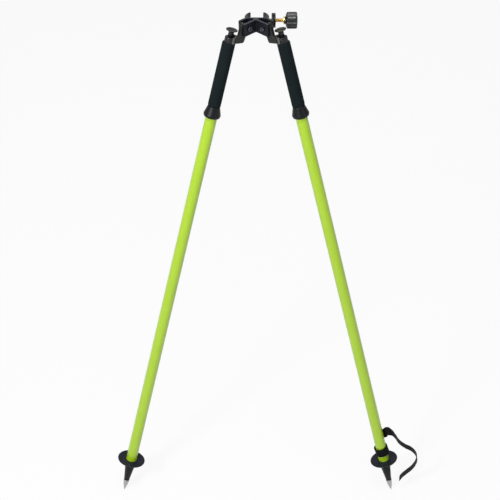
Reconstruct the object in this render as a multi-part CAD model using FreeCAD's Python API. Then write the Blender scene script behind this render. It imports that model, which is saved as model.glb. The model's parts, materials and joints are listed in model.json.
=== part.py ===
import FreeCAD
import Part
import math
import os

# A bipod that holds a survey prism pole upright.
# A cast head clamps the pole between two hooked jaws, and two telescopic legs fold down from it.
# Lengths are millimetres, angles degrees. The origin lies where the pole's axis meets the clamp
# screw's, +Z runs up along the pole, +X to the clamp knob, and the legs stand towards -Y.

# Pole and head casting
POLE_RADIUS = 16.0
HEAD_TOP = 17.5
HEAD_BOTTOM = -11.5
REAR_WALL_FACE_Y = -16.05
REAR_WALL_THICKNESS = 3.85
REAR_WALL_END_X = 21.2
V_WALL_YAW = 40.0
V_WALL_APEX_Y = -26.3
V_WALL_THICKNESS = 5.0
V_WALL_END_U = 12.8
CLEVIS_GAP = 11.5
CLEVIS_REAR_WALL = 5.0
CLEVIS_REAR_START_U = -10.0
CLEVIS_REAR_END_U = 10.7
CENTRE_RIB_HALF = 5.5
HINGE_X = 14.0
HINGE_Z = 4.5

# Jaws
JAW_TOP = 12.0
JAW_BOTTOM = -9.0
JAW_OUTER_RADIUS = 19.5
JAW_OUTER_SHIFT_X = 4.0
JAW_OUTER_SHIFT_Y = -5.0
JAW_OUTER_FLAT = 0.4
JAW_TIP_ANGLE = 46.0
PAD_THICKNESS = 1.2
PAD_END_ANGLE = -68.0
PAD_INSET = 1.0
JAW_OPENING = 3.0
JAW_FOOT_INNER_X = 14.0
TONGUE_INNER_X = 1.0
TONGUE_DEPTH = 2.0
TONGUE_MOUTH_HALF = 3.2
TONGUE_BASE_HALF = 4.2
GROOVE_START_X = -12.0
SLIDE_GAP = 0.06

# Clamp screw, its ear and the knob
EAR_X = 31.6
EAR_THICKNESS = 8.2
EAR_RADIUS = 15.0
EAR_WEB_THICKNESS = 3.2
EAR_WEB_FRONT_Y = -30.5
THREAD_BUSH_RADIUS = 6.0
THREAD_BUSH_FLANGE_RADIUS = 6.8
THREAD_BUSH_FLANGE = 0.5
SCREW_RADIUS = 4.0
JOURNAL_RADIUS = 3.0
JOURNAL_START_X = 21.3
JOURNAL_END_X = 26.5
JAW_BOSS_RADIUS = 7.0
JAW_BOSS_START_X = 20.6
JAW_BOSS_END_X = 26.2
PIN_X = 23.6
PIN_RADIUS = 0.9
PIN_LENGTH = 10.0
PIN_GROOVE_RADIUS = 2.0
FLANGE_X = 55.6
FLANGE_RADIUS = 8.3
FLANGE_THICKNESS = 2.4
KNOB_HUB_RADIUS = 8.0
KNOB_X = 60.6
KNOB_LENGTH = 24.4
KNOB_RADIUS = 17.3
KNOB_LOBES = 8
KNOB_FLUTE_RADIUS = 7.0
KNOB_FLUTE_DEPTH = 1.6
KNOB_SHOULDER_LENGTH = 3.4
KNOB_SHOULDER_DROP = 4.2
KNOB_SCREW_END_X = 78.0

# Leg hinge: the legs are drawn folded, parallel with the pole, and swung open afterwards
LEG_OPEN_ANGLE = 17.2
LEG_AXIS_X = 47.6
LEG_AXIS_Y = -37.6
LEG_ZERO_Z = -21.8
BOLT_RADIUS = 3.0
BOLT_HEAD_RADIUS = 5.0
BOLT_HEAD_HEIGHT = 4.4
BOLT_SOCKET_WIDTH = 5.0
BOLT_SOCKET_DEPTH = 2.6
WASHER_RADIUS = 7.0
WASHER_THICKNESS = 0.7
EYE_RADIUS = 7.4
EYE_THICKNESS = 10.0
RUNNING_GAP = 0.05

# Arm: u runs outward from the hinge along the V wall, heights are from the hinge
ARM_OUTER_U = 15.2
ARM_TOP = 8.6
ARM_TOP_ROUND = 5.0
ARM_FLARE_START = -15.5
ARM_FLARE_ROUND = 6.6
ARM_INNER_U = -3.0
ARM_WAIST = -14.0
ARM_INNER_LOW_U = -0.8
ARM_BOTTOM = -35.0
ARM_CORNER_ROUND = 4.5
BLOCK_BACK_Y = -29.0
BLOCK_FRONT_Y = -45.6
SADDLE_THICKNESS = 2.8
SADDLE_HALF_ANGLE = 62.0
SADDLE_TOP_S = -3.6
SADDLE_BOTTOM_S = 10.4
STUD_RADIUS = 2.5
STUD_LENGTH = 14.0
STUD_S = 4.4

# Leg, by station: s runs down the leg's axis from the level of the arm's beam
CAP_RADIUS = 10.6
CAP_TOP_S = -1.0
CAP_SHOULDER_S = 11.2
CAP_PLUG_END_S = 32.0
CAP_BORE_RADIUS = 5.9
CAP_BORE_END_S = 24.0
BUTTON_RADIUS = 12.2
BUTTON_TOP_S = -16.8
BUTTON_RIM_S = -15.4
BUTTON_STEM_RADIUS = 5.8
BUTTON_STEM_TOP_S = -11.2
BUTTON_STEM_END_S = 6.0
BUTTON_TRAVEL = 6.0
CONTROL_ROD_RADIUS = 2.5
CONTROL_ROD_END_S = 1012.0
SPRING_OUTER_RADIUS = 5.2
SPRING_INNER_RADIUS = 3.8
ROD_RADIUS = 9.525
ROD_WALL = 1.2
ROD_END_S = 1016.0
FOAM_RADIUS = 13.7
FOAM_END_S = 155.4
FOAM_EDGE_ROUND = 2.5
SLEEVE_RADIUS = 11.35
SLEEVE_END_S = 1044.0
SLEEVE_SLOTS = 4
SLEEVE_SLOT_WIDTH = 1.6
CONE_TOP_RADIUS = 4.0
CONE_BOTTOM_RADIUS = 6.6
CONE_START_S = 1022.0
CONE_END_S = 1048.0

# Lower leg
TUBE_RADIUS = 12.7
TUBE_WALL = 1.25
TUBE_TOP_S = 159.0
DISC_S = 1102.2
COLLAR_TOP_S = 156.0
COLLAR_TOP_RADIUS = 13.2
COLLAR_RIM_RADIUS = 18.4
COLLAR_RIM_S = 175.0
COLLAR_BOTTOM_S = 180.6
COLLAR_CAVITY_S = 166.0
COLLAR_CAVITY_RADIUS = 14.9
BUSH_END_S = 196.0
BUSH_FLANGE_S = 157.4
SPIGOT_START_S = 1072.0
DISC_RADIUS = 32.4
DISC_THICKNESS = 2.4
CONE_ROOT_RADIUS = 13.4
FOOT_CONE_END_RADIUS = 6.3
FOOT_CONE_END_S = 1165.5
POINT_SHANK_RADIUS = 3.5
POINT_SHANK_START_S = 1146.0
POINT_TIP_S = 1198.8
POINT_TIP_RADIUS = 0.8
POINT_ROOT_RADIUS = 7.0

# Tie strap on the right lower leg; its tail is drawn in the plane of the legs
STRAP_WIDTH = 21.0
STRAP_THICKNESS = 2.0
LOOP_CENTRE_S = 1074.5
LOOP_OUTER_RADIUS = 16.7
LOOP_TILT = 6.0
TAIL_LEAN = 10.0
TAIL_ROUTE = [
    (15.4, 1027.6), (24.4, 1024.4), (33.4, 1030.4), (39.2, 1042.6), (45.4, 1060.4), (56.7, 1075.6),
    (69.2, 1087.4), (77.0, 1102.4), (77.8, 1115.6), (72.6, 1128.4), (61.0, 1142.0), (45.0, 1153.2),
    (34.2, 1160.6), (26.0, 1169.0)]

UP = FreeCAD.Vector(0, 0, 1)
ALONG_X = FreeCAD.Vector(1, 0, 0)
ALONG_Y = FreeCAD.Vector(0, 1, 0)
ORIGIN = FreeCAD.Vector(0, 0, 0)

yaw = math.radians(V_WALL_YAW)
hinge_y = V_WALL_APEX_Y - HINGE_X * math.tan(yaw)
hinge_point = FreeCAD.Vector(HINGE_X, hinge_y, HINGE_Z)
hinge_axis = FreeCAD.Vector(-math.sin(yaw), -math.cos(yaw), 0)
clevis_inner_w = V_WALL_THICKNESS + CLEVIS_GAP
clevis_outer_w = clevis_inner_w + CLEVIS_REAR_WALL
eye_w = V_WALL_THICKNESS + (CLEVIS_GAP - EYE_THICKNESS) / 2
pad_radius = POLE_RADIUS + PAD_THICKNESS
knob_end_x = KNOB_X + KNOB_LENGTH
jaw_outer_x = JAW_OUTER_SHIFT_X + JAW_OUTER_RADIUS - JAW_OUTER_FLAT
rod_bore_radius = ROD_RADIUS - ROD_WALL
tube_bore_radius = TUBE_RADIUS - TUBE_WALL


def solid_of(shape):
    """One clean solid from the result of a boolean."""
    shape = shape.removeSplitter()
    return shape.Solids[0] if len(shape.Solids) == 1 else shape


def box(x0, x1, y0, y1, z0, z1):
    return Part.makeBox(x1 - x0, y1 - y0, z1 - z0, FreeCAD.Vector(x0, y0, z0))


def prism(points, z0, z1):
    """An upright prism over a closed plan outline."""
    corners = [FreeCAD.Vector(x, y, z0) for x, y in points]
    wire = Part.makePolygon(corners + corners[:1])
    return Part.Face(wire).extrude(UP * (z1 - z0))


def column(radius, z0, z1, x=0.0, y=0.0):
    return Part.makeCylinder(radius, z1 - z0, FreeCAD.Vector(x, y, z0), UP)


def bar_along_x(radius, x0, x1, y=0.0, z=0.0):
    return Part.makeCylinder(radius, x1 - x0, FreeCAD.Vector(x0, y, z), ALONG_X)


def turned(profile, axis_along_x=False):
    """A turned piece: a closed outline of (radius, distance along the axis)."""
    if axis_along_x:
        corners = [FreeCAD.Vector(along, radius, 0) for radius, along in profile]
        axis = ALONG_X
    else:
        corners = [FreeCAD.Vector(radius, 0, -along) for radius, along in profile]
        axis = UP
    wire = Part.makePolygon(corners + corners[:1])
    return solid_of(Part.Face(wire).revolve(ORIGIN, axis, 360))


def leg_column(radius, top_s, bottom_s):
    return column(radius, -bottom_s, -top_s)


def leg_tube(outer, inner, top_s, bottom_s):
    return leg_column(outer, top_s, bottom_s).cut(leg_column(inner, top_s - 1, bottom_s + 1))


def on_v_wall(u, w):
    """Plan point beside the right hinge: u outward along the V wall, w behind its front face."""
    x = HINGE_X + u * math.cos(yaw) + w * math.sin(yaw)
    y = hinge_y - u * math.sin(yaw) + w * math.cos(yaw)
    return x, y


def along_hinge(radius, w0, w1):
    """A cylinder on the right hinge's axis between two depths behind the V wall's face."""
    x, y = on_v_wall(0, w0)
    return Part.makeCylinder(radius, w1 - w0, FreeCAD.Vector(x, y, HINGE_Z), -hinge_axis)


def mirrored(shape):
    return shape.mirror(ORIGIN, ALONG_X)


def clevis_half():
    """The right V wall, and the wall behind it that the hinge bolt screws into."""
    apex_u = -HINGE_X / math.cos(yaw)
    apex_back_u = apex_u - V_WALL_THICKNESS * math.tan(yaw)
    v_wall = prism([on_v_wall(apex_u, 0), on_v_wall(V_WALL_END_U, 0),
                    on_v_wall(V_WALL_END_U, V_WALL_THICKNESS),
                    on_v_wall(apex_back_u, V_WALL_THICKNESS)], HEAD_BOTTOM, HEAD_TOP)
    rear_wall = prism([on_v_wall(CLEVIS_REAR_START_U, clevis_inner_w),
                       on_v_wall(CLEVIS_REAR_END_U, clevis_inner_w),
                       on_v_wall(CLEVIS_REAR_END_U, clevis_outer_w),
                       on_v_wall(CLEVIS_REAR_START_U, clevis_outer_w)], HEAD_BOTTOM, HEAD_TOP)
    behind_pole = box(-40, 40, REAR_WALL_FACE_Y, 20, -40, 40)
    return v_wall.fuse(rear_wall.cut(behind_pole))


def dovetail(x0, x1, gap):
    """The jaw's sliding tongue, or with a gap the groove that it runs in."""
    face_y = REAR_WALL_FACE_Y + (1.0 if gap else -SLIDE_GAP)
    base_y = REAR_WALL_FACE_Y - TONGUE_DEPTH - gap
    slope = (TONGUE_BASE_HALF - TONGUE_MOUTH_HALF) / TONGUE_DEPTH
    mouth = TONGUE_MOUTH_HALF + gap - slope * (face_y - REAR_WALL_FACE_Y)
    base = TONGUE_BASE_HALF + gap
    corners = [FreeCAD.Vector(x0, face_y, -mouth), FreeCAD.Vector(x0, face_y, mouth),
               FreeCAD.Vector(x0, base_y, base), FreeCAD.Vector(x0, base_y, -base)]
    wire = Part.makePolygon(corners + corners[:1])
    return Part.Face(wire).extrude(ALONG_X * (x1 - x0))


def hook(shift, root):
    """A right-hand jaw: a hook round the pole that tapers to its tip, with its root block."""
    outer = column(JAW_OUTER_RADIUS, JAW_BOTTOM, JAW_TOP,
                   shift + JAW_OUTER_SHIFT_X, JAW_OUTER_SHIFT_Y)
    right_half = box(shift, shift + 40, JAW_OUTER_SHIFT_Y, 40, -20, 20)
    bore = column(pad_radius, -20, 20, shift, 0)
    reach = 60.0
    tip = math.radians(JAW_TIP_ANGLE)
    tip_cut = prism([(shift, 0), (shift + reach * math.cos(tip), reach * math.sin(tip)),
                     (shift, reach)], -20, 20)
    return outer.common(right_half).fuse(root).cut(bore).cut(tip_cut)


def jaw_pad(shift):
    """The plastic lining of a right-hand jaw."""
    ring = column(pad_radius, JAW_BOTTOM + PAD_INSET, JAW_TOP - PAD_INSET, shift, 0)
    ring = ring.cut(column(POLE_RADIUS, -20, 20, shift, 0))
    reach = 60.0
    sector = [(shift, 0)]
    for angle in (PAD_END_ANGLE, PAD_END_ANGLE / 2, JAW_TIP_ANGLE / 2, JAW_TIP_ANGLE):
        turn = math.radians(angle)
        sector.append((shift + reach * math.cos(turn), reach * math.sin(turn)))
    return solid_of(ring.common(prism(sector, -20, 20)))


def ear():
    """The lug that the thread bush is pressed into, with the web that carries it."""
    disc = bar_along_x(EAR_RADIUS, EAR_X, EAR_X + EAR_THICKNESS)
    corners = [(EAR_WEB_FRONT_Y, HEAD_BOTTOM + 2), (EAR_WEB_FRONT_Y, HEAD_TOP),
               (EAR_WEB_FRONT_Y + 8, HEAD_TOP), (0, EAR_RADIUS), (0, -EAR_RADIUS + 2)]
    points = [FreeCAD.Vector(EAR_X, y, z) for y, z in corners]
    wire = Part.makePolygon(points + points[:1])
    web = Part.Face(wire).extrude(ALONG_X * EAR_WEB_THICKNESS)
    return disc.fuse(web)


def head_casting():
    half = clevis_half()
    wall_front_y = REAR_WALL_FACE_Y - REAR_WALL_THICKNESS
    rear = box(-REAR_WALL_END_X, REAR_WALL_END_X, wall_front_y, REAR_WALL_FACE_Y, HEAD_BOTTOM, HEAD_TOP)
    centre_rib = box(-CENTRE_RIB_HALF, CENTRE_RIB_HALF, V_WALL_APEX_Y + 1.0, wall_front_y + 1.0,
                     HEAD_BOTTOM, HEAD_TOP)
    below_v = prism([(0, V_WALL_APEX_Y), (40, V_WALL_APEX_Y - 40 * math.tan(yaw)),
                     (-40, V_WALL_APEX_Y - 40 * math.tan(yaw))], -40, 40)
    root = box(0.5, jaw_outer_x, REAR_WALL_FACE_Y - 1.0, JAW_OUTER_SHIFT_Y, JAW_BOTTOM, JAW_TOP)
    fixed_jaw = mirrored(hook(0.0, root))
    body = half.fuse([mirrored(half), rear, centre_rib.cut(below_v), fixed_jaw, ear()])
    body = body.cut(dovetail(GROOVE_START_X, 30.0, SLIDE_GAP))
    bolt_hole = along_hinge(BOLT_RADIUS, -1, clevis_outer_w + 1)
    body = body.cut([bolt_hole, mirrored(bolt_hole)])
    return solid_of(body.cut(bar_along_x(THREAD_BUSH_RADIUS, EAR_X - 1, EAR_X + EAR_THICKNESS + 1)))


def thread_bush():
    """The brass bush, pressed into the ear, that the clamp screw turns in."""
    end_x = EAR_X + EAR_THICKNESS
    body = bar_along_x(THREAD_BUSH_RADIUS, EAR_X, end_x)
    flange = bar_along_x(THREAD_BUSH_FLANGE_RADIUS, end_x, end_x + THREAD_BUSH_FLANGE)
    return solid_of(body.fuse(flange).cut(bar_along_x(SCREW_RADIUS + RUNNING_GAP, EAR_X - 1, end_x + 3)))


def movable_jaw():
    foot_y = REAR_WALL_FACE_Y + SLIDE_GAP
    outer_x = JAW_OPENING + jaw_outer_x
    root = box(JAW_FOOT_INNER_X, outer_x, foot_y, JAW_OUTER_SHIFT_Y, JAW_BOTTOM, JAW_TOP)
    jaw = hook(JAW_OPENING, root)
    jaw = jaw.fuse([dovetail(TONGUE_INNER_X, outer_x, 0.0),
                    box(JAW_FOOT_INNER_X, outer_x, foot_y - 0.3, foot_y + 1,
                        -TONGUE_MOUTH_HALF, TONGUE_MOUTH_HALF),
                    bar_along_x(JAW_BOSS_RADIUS, JAW_BOSS_START_X, JAW_BOSS_END_X)])
    jaw = jaw.cut(bar_along_x(JOURNAL_RADIUS + RUNNING_GAP, JOURNAL_START_X - 0.3, JAW_BOSS_END_X + 1))
    return solid_of(jaw.cut(jaw_pin()))


def jaw_pin():
    """The cross pin that keeps the screw's journal in the jaw."""
    pin_y = PIN_GROOVE_RADIUS + PIN_RADIUS + RUNNING_GAP
    return column(PIN_RADIUS, -PIN_LENGTH / 2, PIN_LENGTH / 2, PIN_X, pin_y)


def clamp_screw():
    groove_half = PIN_RADIUS + 0.1
    flange_end_x = FLANGE_X + FLANGE_THICKNESS
    return turned([(0, JOURNAL_START_X), (JOURNAL_RADIUS - 0.5, JOURNAL_START_X),
                   (JOURNAL_RADIUS, JOURNAL_START_X + 0.5), (JOURNAL_RADIUS, PIN_X - groove_half),
                   (PIN_GROOVE_RADIUS, PIN_X - groove_half), (PIN_GROOVE_RADIUS, PIN_X + groove_half),
                   (JOURNAL_RADIUS, PIN_X + groove_half), (JOURNAL_RADIUS, JOURNAL_END_X),
                   (SCREW_RADIUS, JOURNAL_END_X), (SCREW_RADIUS, FLANGE_X),
                   (FLANGE_RADIUS - 0.6, FLANGE_X), (FLANGE_RADIUS, FLANGE_X + 0.6),
                   (FLANGE_RADIUS, flange_end_x), (SCREW_RADIUS, flange_end_x),
                   (SCREW_RADIUS, KNOB_SCREW_END_X), (0, KNOB_SCREW_END_X)], True)


def clamp_knob():
    """A fluted plastic knob moulded on the screw's end."""
    hub_x = FLANGE_X + FLANGE_THICKNESS
    full_x = KNOB_X + KNOB_SHOULDER_LENGTH
    body = turned([(0, hub_x), (KNOB_HUB_RADIUS, hub_x), (KNOB_HUB_RADIUS, KNOB_X),
                   (KNOB_RADIUS - KNOB_SHOULDER_DROP, KNOB_X), (KNOB_RADIUS - 0.8, full_x - 1.0),
                   (KNOB_RADIUS, full_x), (KNOB_RADIUS, knob_end_x - 4.6),
                   (KNOB_RADIUS - 0.7, knob_end_x - 3.2), (KNOB_RADIUS - 2.4, knob_end_x - 2.0),
                   (KNOB_RADIUS - 6.5, knob_end_x - 1.0), (KNOB_RADIUS - 11.0, knob_end_x - 0.3),
                   (0, knob_end_x)], True)
    flute_centre = KNOB_RADIUS + KNOB_FLUTE_RADIUS - KNOB_FLUTE_DEPTH
    flutes = []
    for lobe in range(KNOB_LOBES):
        turn = 2 * math.pi * (lobe + 0.5) / KNOB_LOBES
        flutes.append(bar_along_x(KNOB_FLUTE_RADIUS, KNOB_X - 1, knob_end_x + 1,
                                  flute_centre * math.cos(turn), flute_centre * math.sin(turn)))
    return solid_of(body.cut(flutes).cut(bar_along_x(SCREW_RADIUS, hub_x - 1, KNOB_SCREW_END_X)))


def hinge_bolt():
    """A shoulder screw: its head lies in the V, its end is threaded into the rear wall."""
    head = along_hinge(BOLT_HEAD_RADIUS, -BOLT_HEAD_HEIGHT, 0)
    shank = along_hinge(BOLT_RADIUS, 0, clevis_outer_w)
    key_radius = BOLT_SOCKET_WIDTH / math.sqrt(3)
    corners = []
    for corner in range(6):
        turn = math.radians(60 * corner)
        x, y = on_v_wall(key_radius * math.cos(turn), -BOLT_HEAD_HEIGHT - 0.5)
        corners.append(FreeCAD.Vector(x, y, HINGE_Z + key_radius * math.sin(turn)))
    wire = Part.makePolygon(corners + corners[:1])
    socket = Part.Face(wire).extrude(hinge_axis * -(BOLT_SOCKET_DEPTH + 0.5))
    return solid_of(head.fuse(shank).cut(socket))


def hinge_washers():
    """Two plastic friction washers, one each side of the arm's eye."""
    bore = along_hinge(BOLT_RADIUS + RUNNING_GAP, 0, clevis_outer_w)
    front = along_hinge(WASHER_RADIUS, eye_w - WASHER_THICKNESS, eye_w).cut(bore)
    back_w = eye_w + EYE_THICKNESS
    back = along_hinge(WASHER_RADIUS, back_w, back_w + WASHER_THICKNESS).cut(bore)
    return Part.makeCompound([front, back])


def arm():
    """The cast arm: an eye and a broad plate between the clevis walls, with a block out to the leg."""
    def at(u, height):
        x, y = on_v_wall(u, eye_w)
        return FreeCAD.Vector(x, y, HINGE_Z + height)

    def line(start, end):
        return Part.makeLine(at(*start), at(*end))

    def quarter(start, end, bulge_u, bulge_height):
        """A quarter round between two points, bulging to the corner given."""
        middle = [(a + b) / 2 + (c - (a + b) / 2) * (math.sqrt(2) - 1)
                  for a, b, c in zip(start, end, (bulge_u, bulge_height))]
        return Part.Arc(at(*start), at(*middle), at(*end)).toShape()

    eye_side = (-EYE_RADIUS, 0.0)
    eye_top = (0.0, EYE_RADIUS)
    top_in = (ARM_OUTER_U - ARM_TOP_ROUND, ARM_TOP)
    top_out = (ARM_OUTER_U, ARM_TOP - ARM_TOP_ROUND)
    flare_in = (ARM_OUTER_U, ARM_FLARE_START)
    flare_end = (ARM_OUTER_U + ARM_FLARE_ROUND, ARM_FLARE_START - ARM_FLARE_ROUND)
    low_out = (ARM_OUTER_U + ARM_FLARE_ROUND, ARM_BOTTOM)
    low_in = (ARM_INNER_LOW_U + ARM_CORNER_ROUND, ARM_BOTTOM)
    inner_corner = (ARM_INNER_LOW_U, ARM_BOTTOM + ARM_CORNER_ROUND)
    waist = (ARM_INNER_U, ARM_WAIST)
    edges = [quarter(eye_side, eye_top, -EYE_RADIUS, EYE_RADIUS), line(eye_top, top_in),
             quarter(top_in, top_out, ARM_OUTER_U, ARM_TOP), line(top_out, flare_in),
             quarter(flare_in, flare_end, ARM_OUTER_U, flare_end[1]), line(flare_end, low_out),
             line(low_out, low_in), quarter(low_in, inner_corner, ARM_INNER_LOW_U, ARM_BOTTOM),
             line(inner_corner, waist), line(waist, eye_side)]
    plate = Part.Face(Part.Wire(edges)).extrude(hinge_axis * -EYE_THICKNESS)
    block_front = on_v_wall(ARM_OUTER_U - 1.0, eye_w)
    block_back = on_v_wall(CLEVIS_REAR_END_U + 0.6, eye_w + EYE_THICKNESS)
    block_top = LEG_ZERO_Z - SADDLE_TOP_S + 0.3
    outer_x = LEG_AXIS_X - 4.0
    block = prism([block_front, (block_front[0] + 5.0, BLOCK_FRONT_Y), (outer_x, BLOCK_FRONT_Y),
                   (outer_x, BLOCK_BACK_Y), (block_back[0] + 2.0, BLOCK_BACK_Y), block_back],
                  HINGE_Z + ARM_BOTTOM, block_top)
    saddle_space = column(CAP_RADIUS + SADDLE_THICKNESS, -60, 20, LEG_AXIS_X, LEG_AXIS_Y)
    body = plate.fuse(block).cut(saddle_space)
    body = body.cut(along_hinge(BOLT_RADIUS + RUNNING_GAP, 0, clevis_outer_w))
    return solid_of(body.cut(arm_stud()))


def arm_stud():
    """The stud that holds the arm, the saddle and the leg's cap together."""
    end_x = LEG_AXIS_X - CAP_BORE_RADIUS - 1.2
    return bar_along_x(STUD_RADIUS, end_x - STUD_LENGTH, end_x, LEG_AXIS_Y, LEG_ZERO_Z - STUD_S)


def saddle():
    """The bent metal plate that beds the round cap on the arm."""
    ring = leg_tube(CAP_RADIUS + SADDLE_THICKNESS, CAP_RADIUS, SADDLE_TOP_S, SADDLE_BOTTOM_S)
    reach = 40.0
    spread = math.radians(SADDLE_HALF_ANGLE)
    sector = prism([(0, 0), (-reach * math.cos(spread), reach * math.sin(spread)), (-reach, 0),
                    (-reach * math.cos(spread), -reach * math.sin(spread))], -20, 20)
    plate = on_leg_axis(ring.common(sector))
    return solid_of(plate.cut(arm_stud()))


def top_cap():
    """The cap plugged into the leg's top, with the stepped bore for the button and its rod."""
    rod_bore = CONTROL_ROD_RADIUS + RUNNING_GAP
    body = turned([(CAP_BORE_RADIUS, CAP_TOP_S), (CAP_RADIUS - 1.8, CAP_TOP_S),
                   (CAP_RADIUS - 0.5, CAP_TOP_S + 0.6), (CAP_RADIUS, CAP_TOP_S + 1.8),
                   (CAP_RADIUS, CAP_SHOULDER_S), (rod_bore_radius, CAP_SHOULDER_S),
                   (rod_bore_radius, CAP_PLUG_END_S), (rod_bore, CAP_PLUG_END_S),
                   (rod_bore, CAP_BORE_END_S), (CAP_BORE_RADIUS, CAP_BORE_END_S)])
    return solid_of(on_leg_axis(body).cut(arm_stud()))


def thumb_button():
    """A mushroom button: a dished disc for the thumb on a stem that slides in the cap."""
    return turned([(0, BUTTON_TOP_S + 0.9), (BUTTON_RADIUS * 0.55, BUTTON_TOP_S + 0.7),
                   (BUTTON_RADIUS - 1.2, BUTTON_TOP_S), (BUTTON_RADIUS - 0.3, BUTTON_TOP_S + 0.3),
                   (BUTTON_RADIUS, BUTTON_RIM_S - 0.6), (BUTTON_RADIUS - 0.2, BUTTON_RIM_S),
                   (BUTTON_RADIUS * 0.6, BUTTON_STEM_TOP_S - 2.2), (BUTTON_STEM_RADIUS, BUTTON_STEM_TOP_S),
                   (BUTTON_STEM_RADIUS, BUTTON_STEM_END_S), (0, BUTTON_STEM_END_S)])


def foam_grip():
    """The foam sleeve stretched over the rod, with its ends softly rounded."""
    edge = FOAM_EDGE_ROUND
    return turned([(ROD_RADIUS, CAP_SHOULDER_S), (FOAM_RADIUS - edge, CAP_SHOULDER_S),
                   (FOAM_RADIUS - edge * 0.3, CAP_SHOULDER_S + edge * 0.3),
                   (FOAM_RADIUS, CAP_SHOULDER_S + edge), (FOAM_RADIUS, FOAM_END_S - edge),
                   (FOAM_RADIUS - edge * 0.3, FOAM_END_S - edge * 0.3),
                   (FOAM_RADIUS - edge, FOAM_END_S), (ROD_RADIUS, FOAM_END_S)])


def lock_sleeve():
    """The slotted plastic sleeve that the cone spreads against the lower tube's bore."""
    body = turned([(0, ROD_END_S - 14), (rod_bore_radius, ROD_END_S - 14), (rod_bore_radius, ROD_END_S),
                   (SLEEVE_RADIUS, ROD_END_S), (SLEEVE_RADIUS, SLEEVE_END_S), (0, SLEEVE_END_S)])
    clearance = 0.3
    bore = turned([(0, ROD_END_S - 15), (CONTROL_ROD_RADIUS + clearance, ROD_END_S - 15),
                   (CONTROL_ROD_RADIUS + clearance, ROD_END_S - 4), (CONE_TOP_RADIUS, ROD_END_S - 4),
                   (CONE_TOP_RADIUS + clearance, CONE_START_S), (CONE_BOTTOM_RADIUS, SLEEVE_END_S + 1),
                   (0, SLEEVE_END_S + 1)])
    slots = []
    for slot in range(SLEEVE_SLOTS // 2):
        blade = box(-20, 20, -SLEEVE_SLOT_WIDTH / 2, SLEEVE_SLOT_WIDTH / 2,
                    -SLEEVE_END_S - 1, -ROD_END_S - 6)
        slots.append(blade.rotate(ORIGIN, UP, 180.0 * slot / (SLEEVE_SLOTS // 2)))
    return solid_of(body.cut(bore).cut(slots))


def bell_collar():
    """The plastic bell on the lower tube's top: a hand stop that flares over the tube."""
    outer = [(COLLAR_TOP_RADIUS - 0.6, COLLAR_TOP_S), (COLLAR_TOP_RADIUS, COLLAR_TOP_S + 0.6),
             (COLLAR_TOP_RADIUS + 0.3, COLLAR_TOP_S + 2.5), (COLLAR_RIM_RADIUS - 0.5, COLLAR_RIM_S - 1.6),
             (COLLAR_RIM_RADIUS, COLLAR_RIM_S), (COLLAR_RIM_RADIUS - 0.2, COLLAR_RIM_S + 2),
             (COLLAR_RIM_RADIUS - 1.4, COLLAR_BOTTOM_S)]
    inner = [(COLLAR_CAVITY_RADIUS, COLLAR_BOTTOM_S), (COLLAR_CAVITY_RADIUS - 1.2, COLLAR_CAVITY_S + 4),
             (TUBE_RADIUS, COLLAR_CAVITY_S), (TUBE_RADIUS, BUSH_FLANGE_S), (ROD_RADIUS + 0.8, BUSH_FLANGE_S),
             (ROD_RADIUS + 0.8, COLLAR_TOP_S)]
    return turned(outer + inner)


def guide_bush():
    bore = ROD_RADIUS + RUNNING_GAP
    return turned([(bore, BUSH_FLANGE_S), (TUBE_RADIUS, BUSH_FLANGE_S), (TUBE_RADIUS, TUBE_TOP_S),
                   (tube_bore_radius, TUBE_TOP_S), (tube_bore_radius, BUSH_END_S), (bore, BUSH_END_S)])


def foot():
    """The foot: a spigot in the tube above the step disc and a cone below it."""
    disc_bottom = DISC_S + DISC_THICKNESS
    shank_hole = leg_column(POINT_SHANK_RADIUS, POINT_SHANK_START_S, FOOT_CONE_END_S + 1)
    body = turned([(0, SPIGOT_START_S), (tube_bore_radius - 1, SPIGOT_START_S),
                   (tube_bore_radius, SPIGOT_START_S + 1), (tube_bore_radius, disc_bottom),
                   (CONE_ROOT_RADIUS + 1.4, disc_bottom),
                   (CONE_ROOT_RADIUS + 0.4, disc_bottom + 1.6), (CONE_ROOT_RADIUS, disc_bottom + 4),
                   (FOOT_CONE_END_RADIUS, FOOT_CONE_END_S), (0, FOOT_CONE_END_S)])
    return solid_of(body.cut(shank_hole))


def step_disc():
    """The flat ring that the foot presses into the ground."""
    bottom = DISC_S + DISC_THICKNESS
    return turned([(tube_bore_radius, DISC_S), (DISC_RADIUS - 1.0, DISC_S), (DISC_RADIUS, DISC_S + 0.8),
                   (DISC_RADIUS, bottom - 0.8), (DISC_RADIUS - 1.0, bottom), (tube_bore_radius, bottom)])


def steel_point():
    length = POINT_TIP_S - FOOT_CONE_END_S
    root = POINT_ROOT_RADIUS
    ogive = [(root * (1 - part ** 1.6), FOOT_CONE_END_S + length * part) for part in (0.3, 0.55, 0.78)]
    return turned([(0, POINT_SHANK_START_S), (POINT_SHANK_RADIUS, POINT_SHANK_START_S),
                   (POINT_SHANK_RADIUS, FOOT_CONE_END_S), (root, FOOT_CONE_END_S)] + ogive
                  + [(POINT_TIP_RADIUS, POINT_TIP_S - 0.9), (0, POINT_TIP_S)])


def strap_loop():
    """Two layers of webbing drawn round the tube."""
    half = STRAP_WIDTH / 2
    ring = column(LOOP_OUTER_RADIUS, -half, half).cut(column(TUBE_RADIUS + 0.5, -half - 1, half + 1))
    ring = ring.rotate(ORIGIN, ALONG_Y, -LOOP_TILT)
    ring.translate(UP * -LOOP_CENTRE_S)
    return solid_of(ring.cut(leg_column(TUBE_RADIUS, LOOP_CENTRE_S - 40, LOOP_CENTRE_S + 40)))


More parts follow.
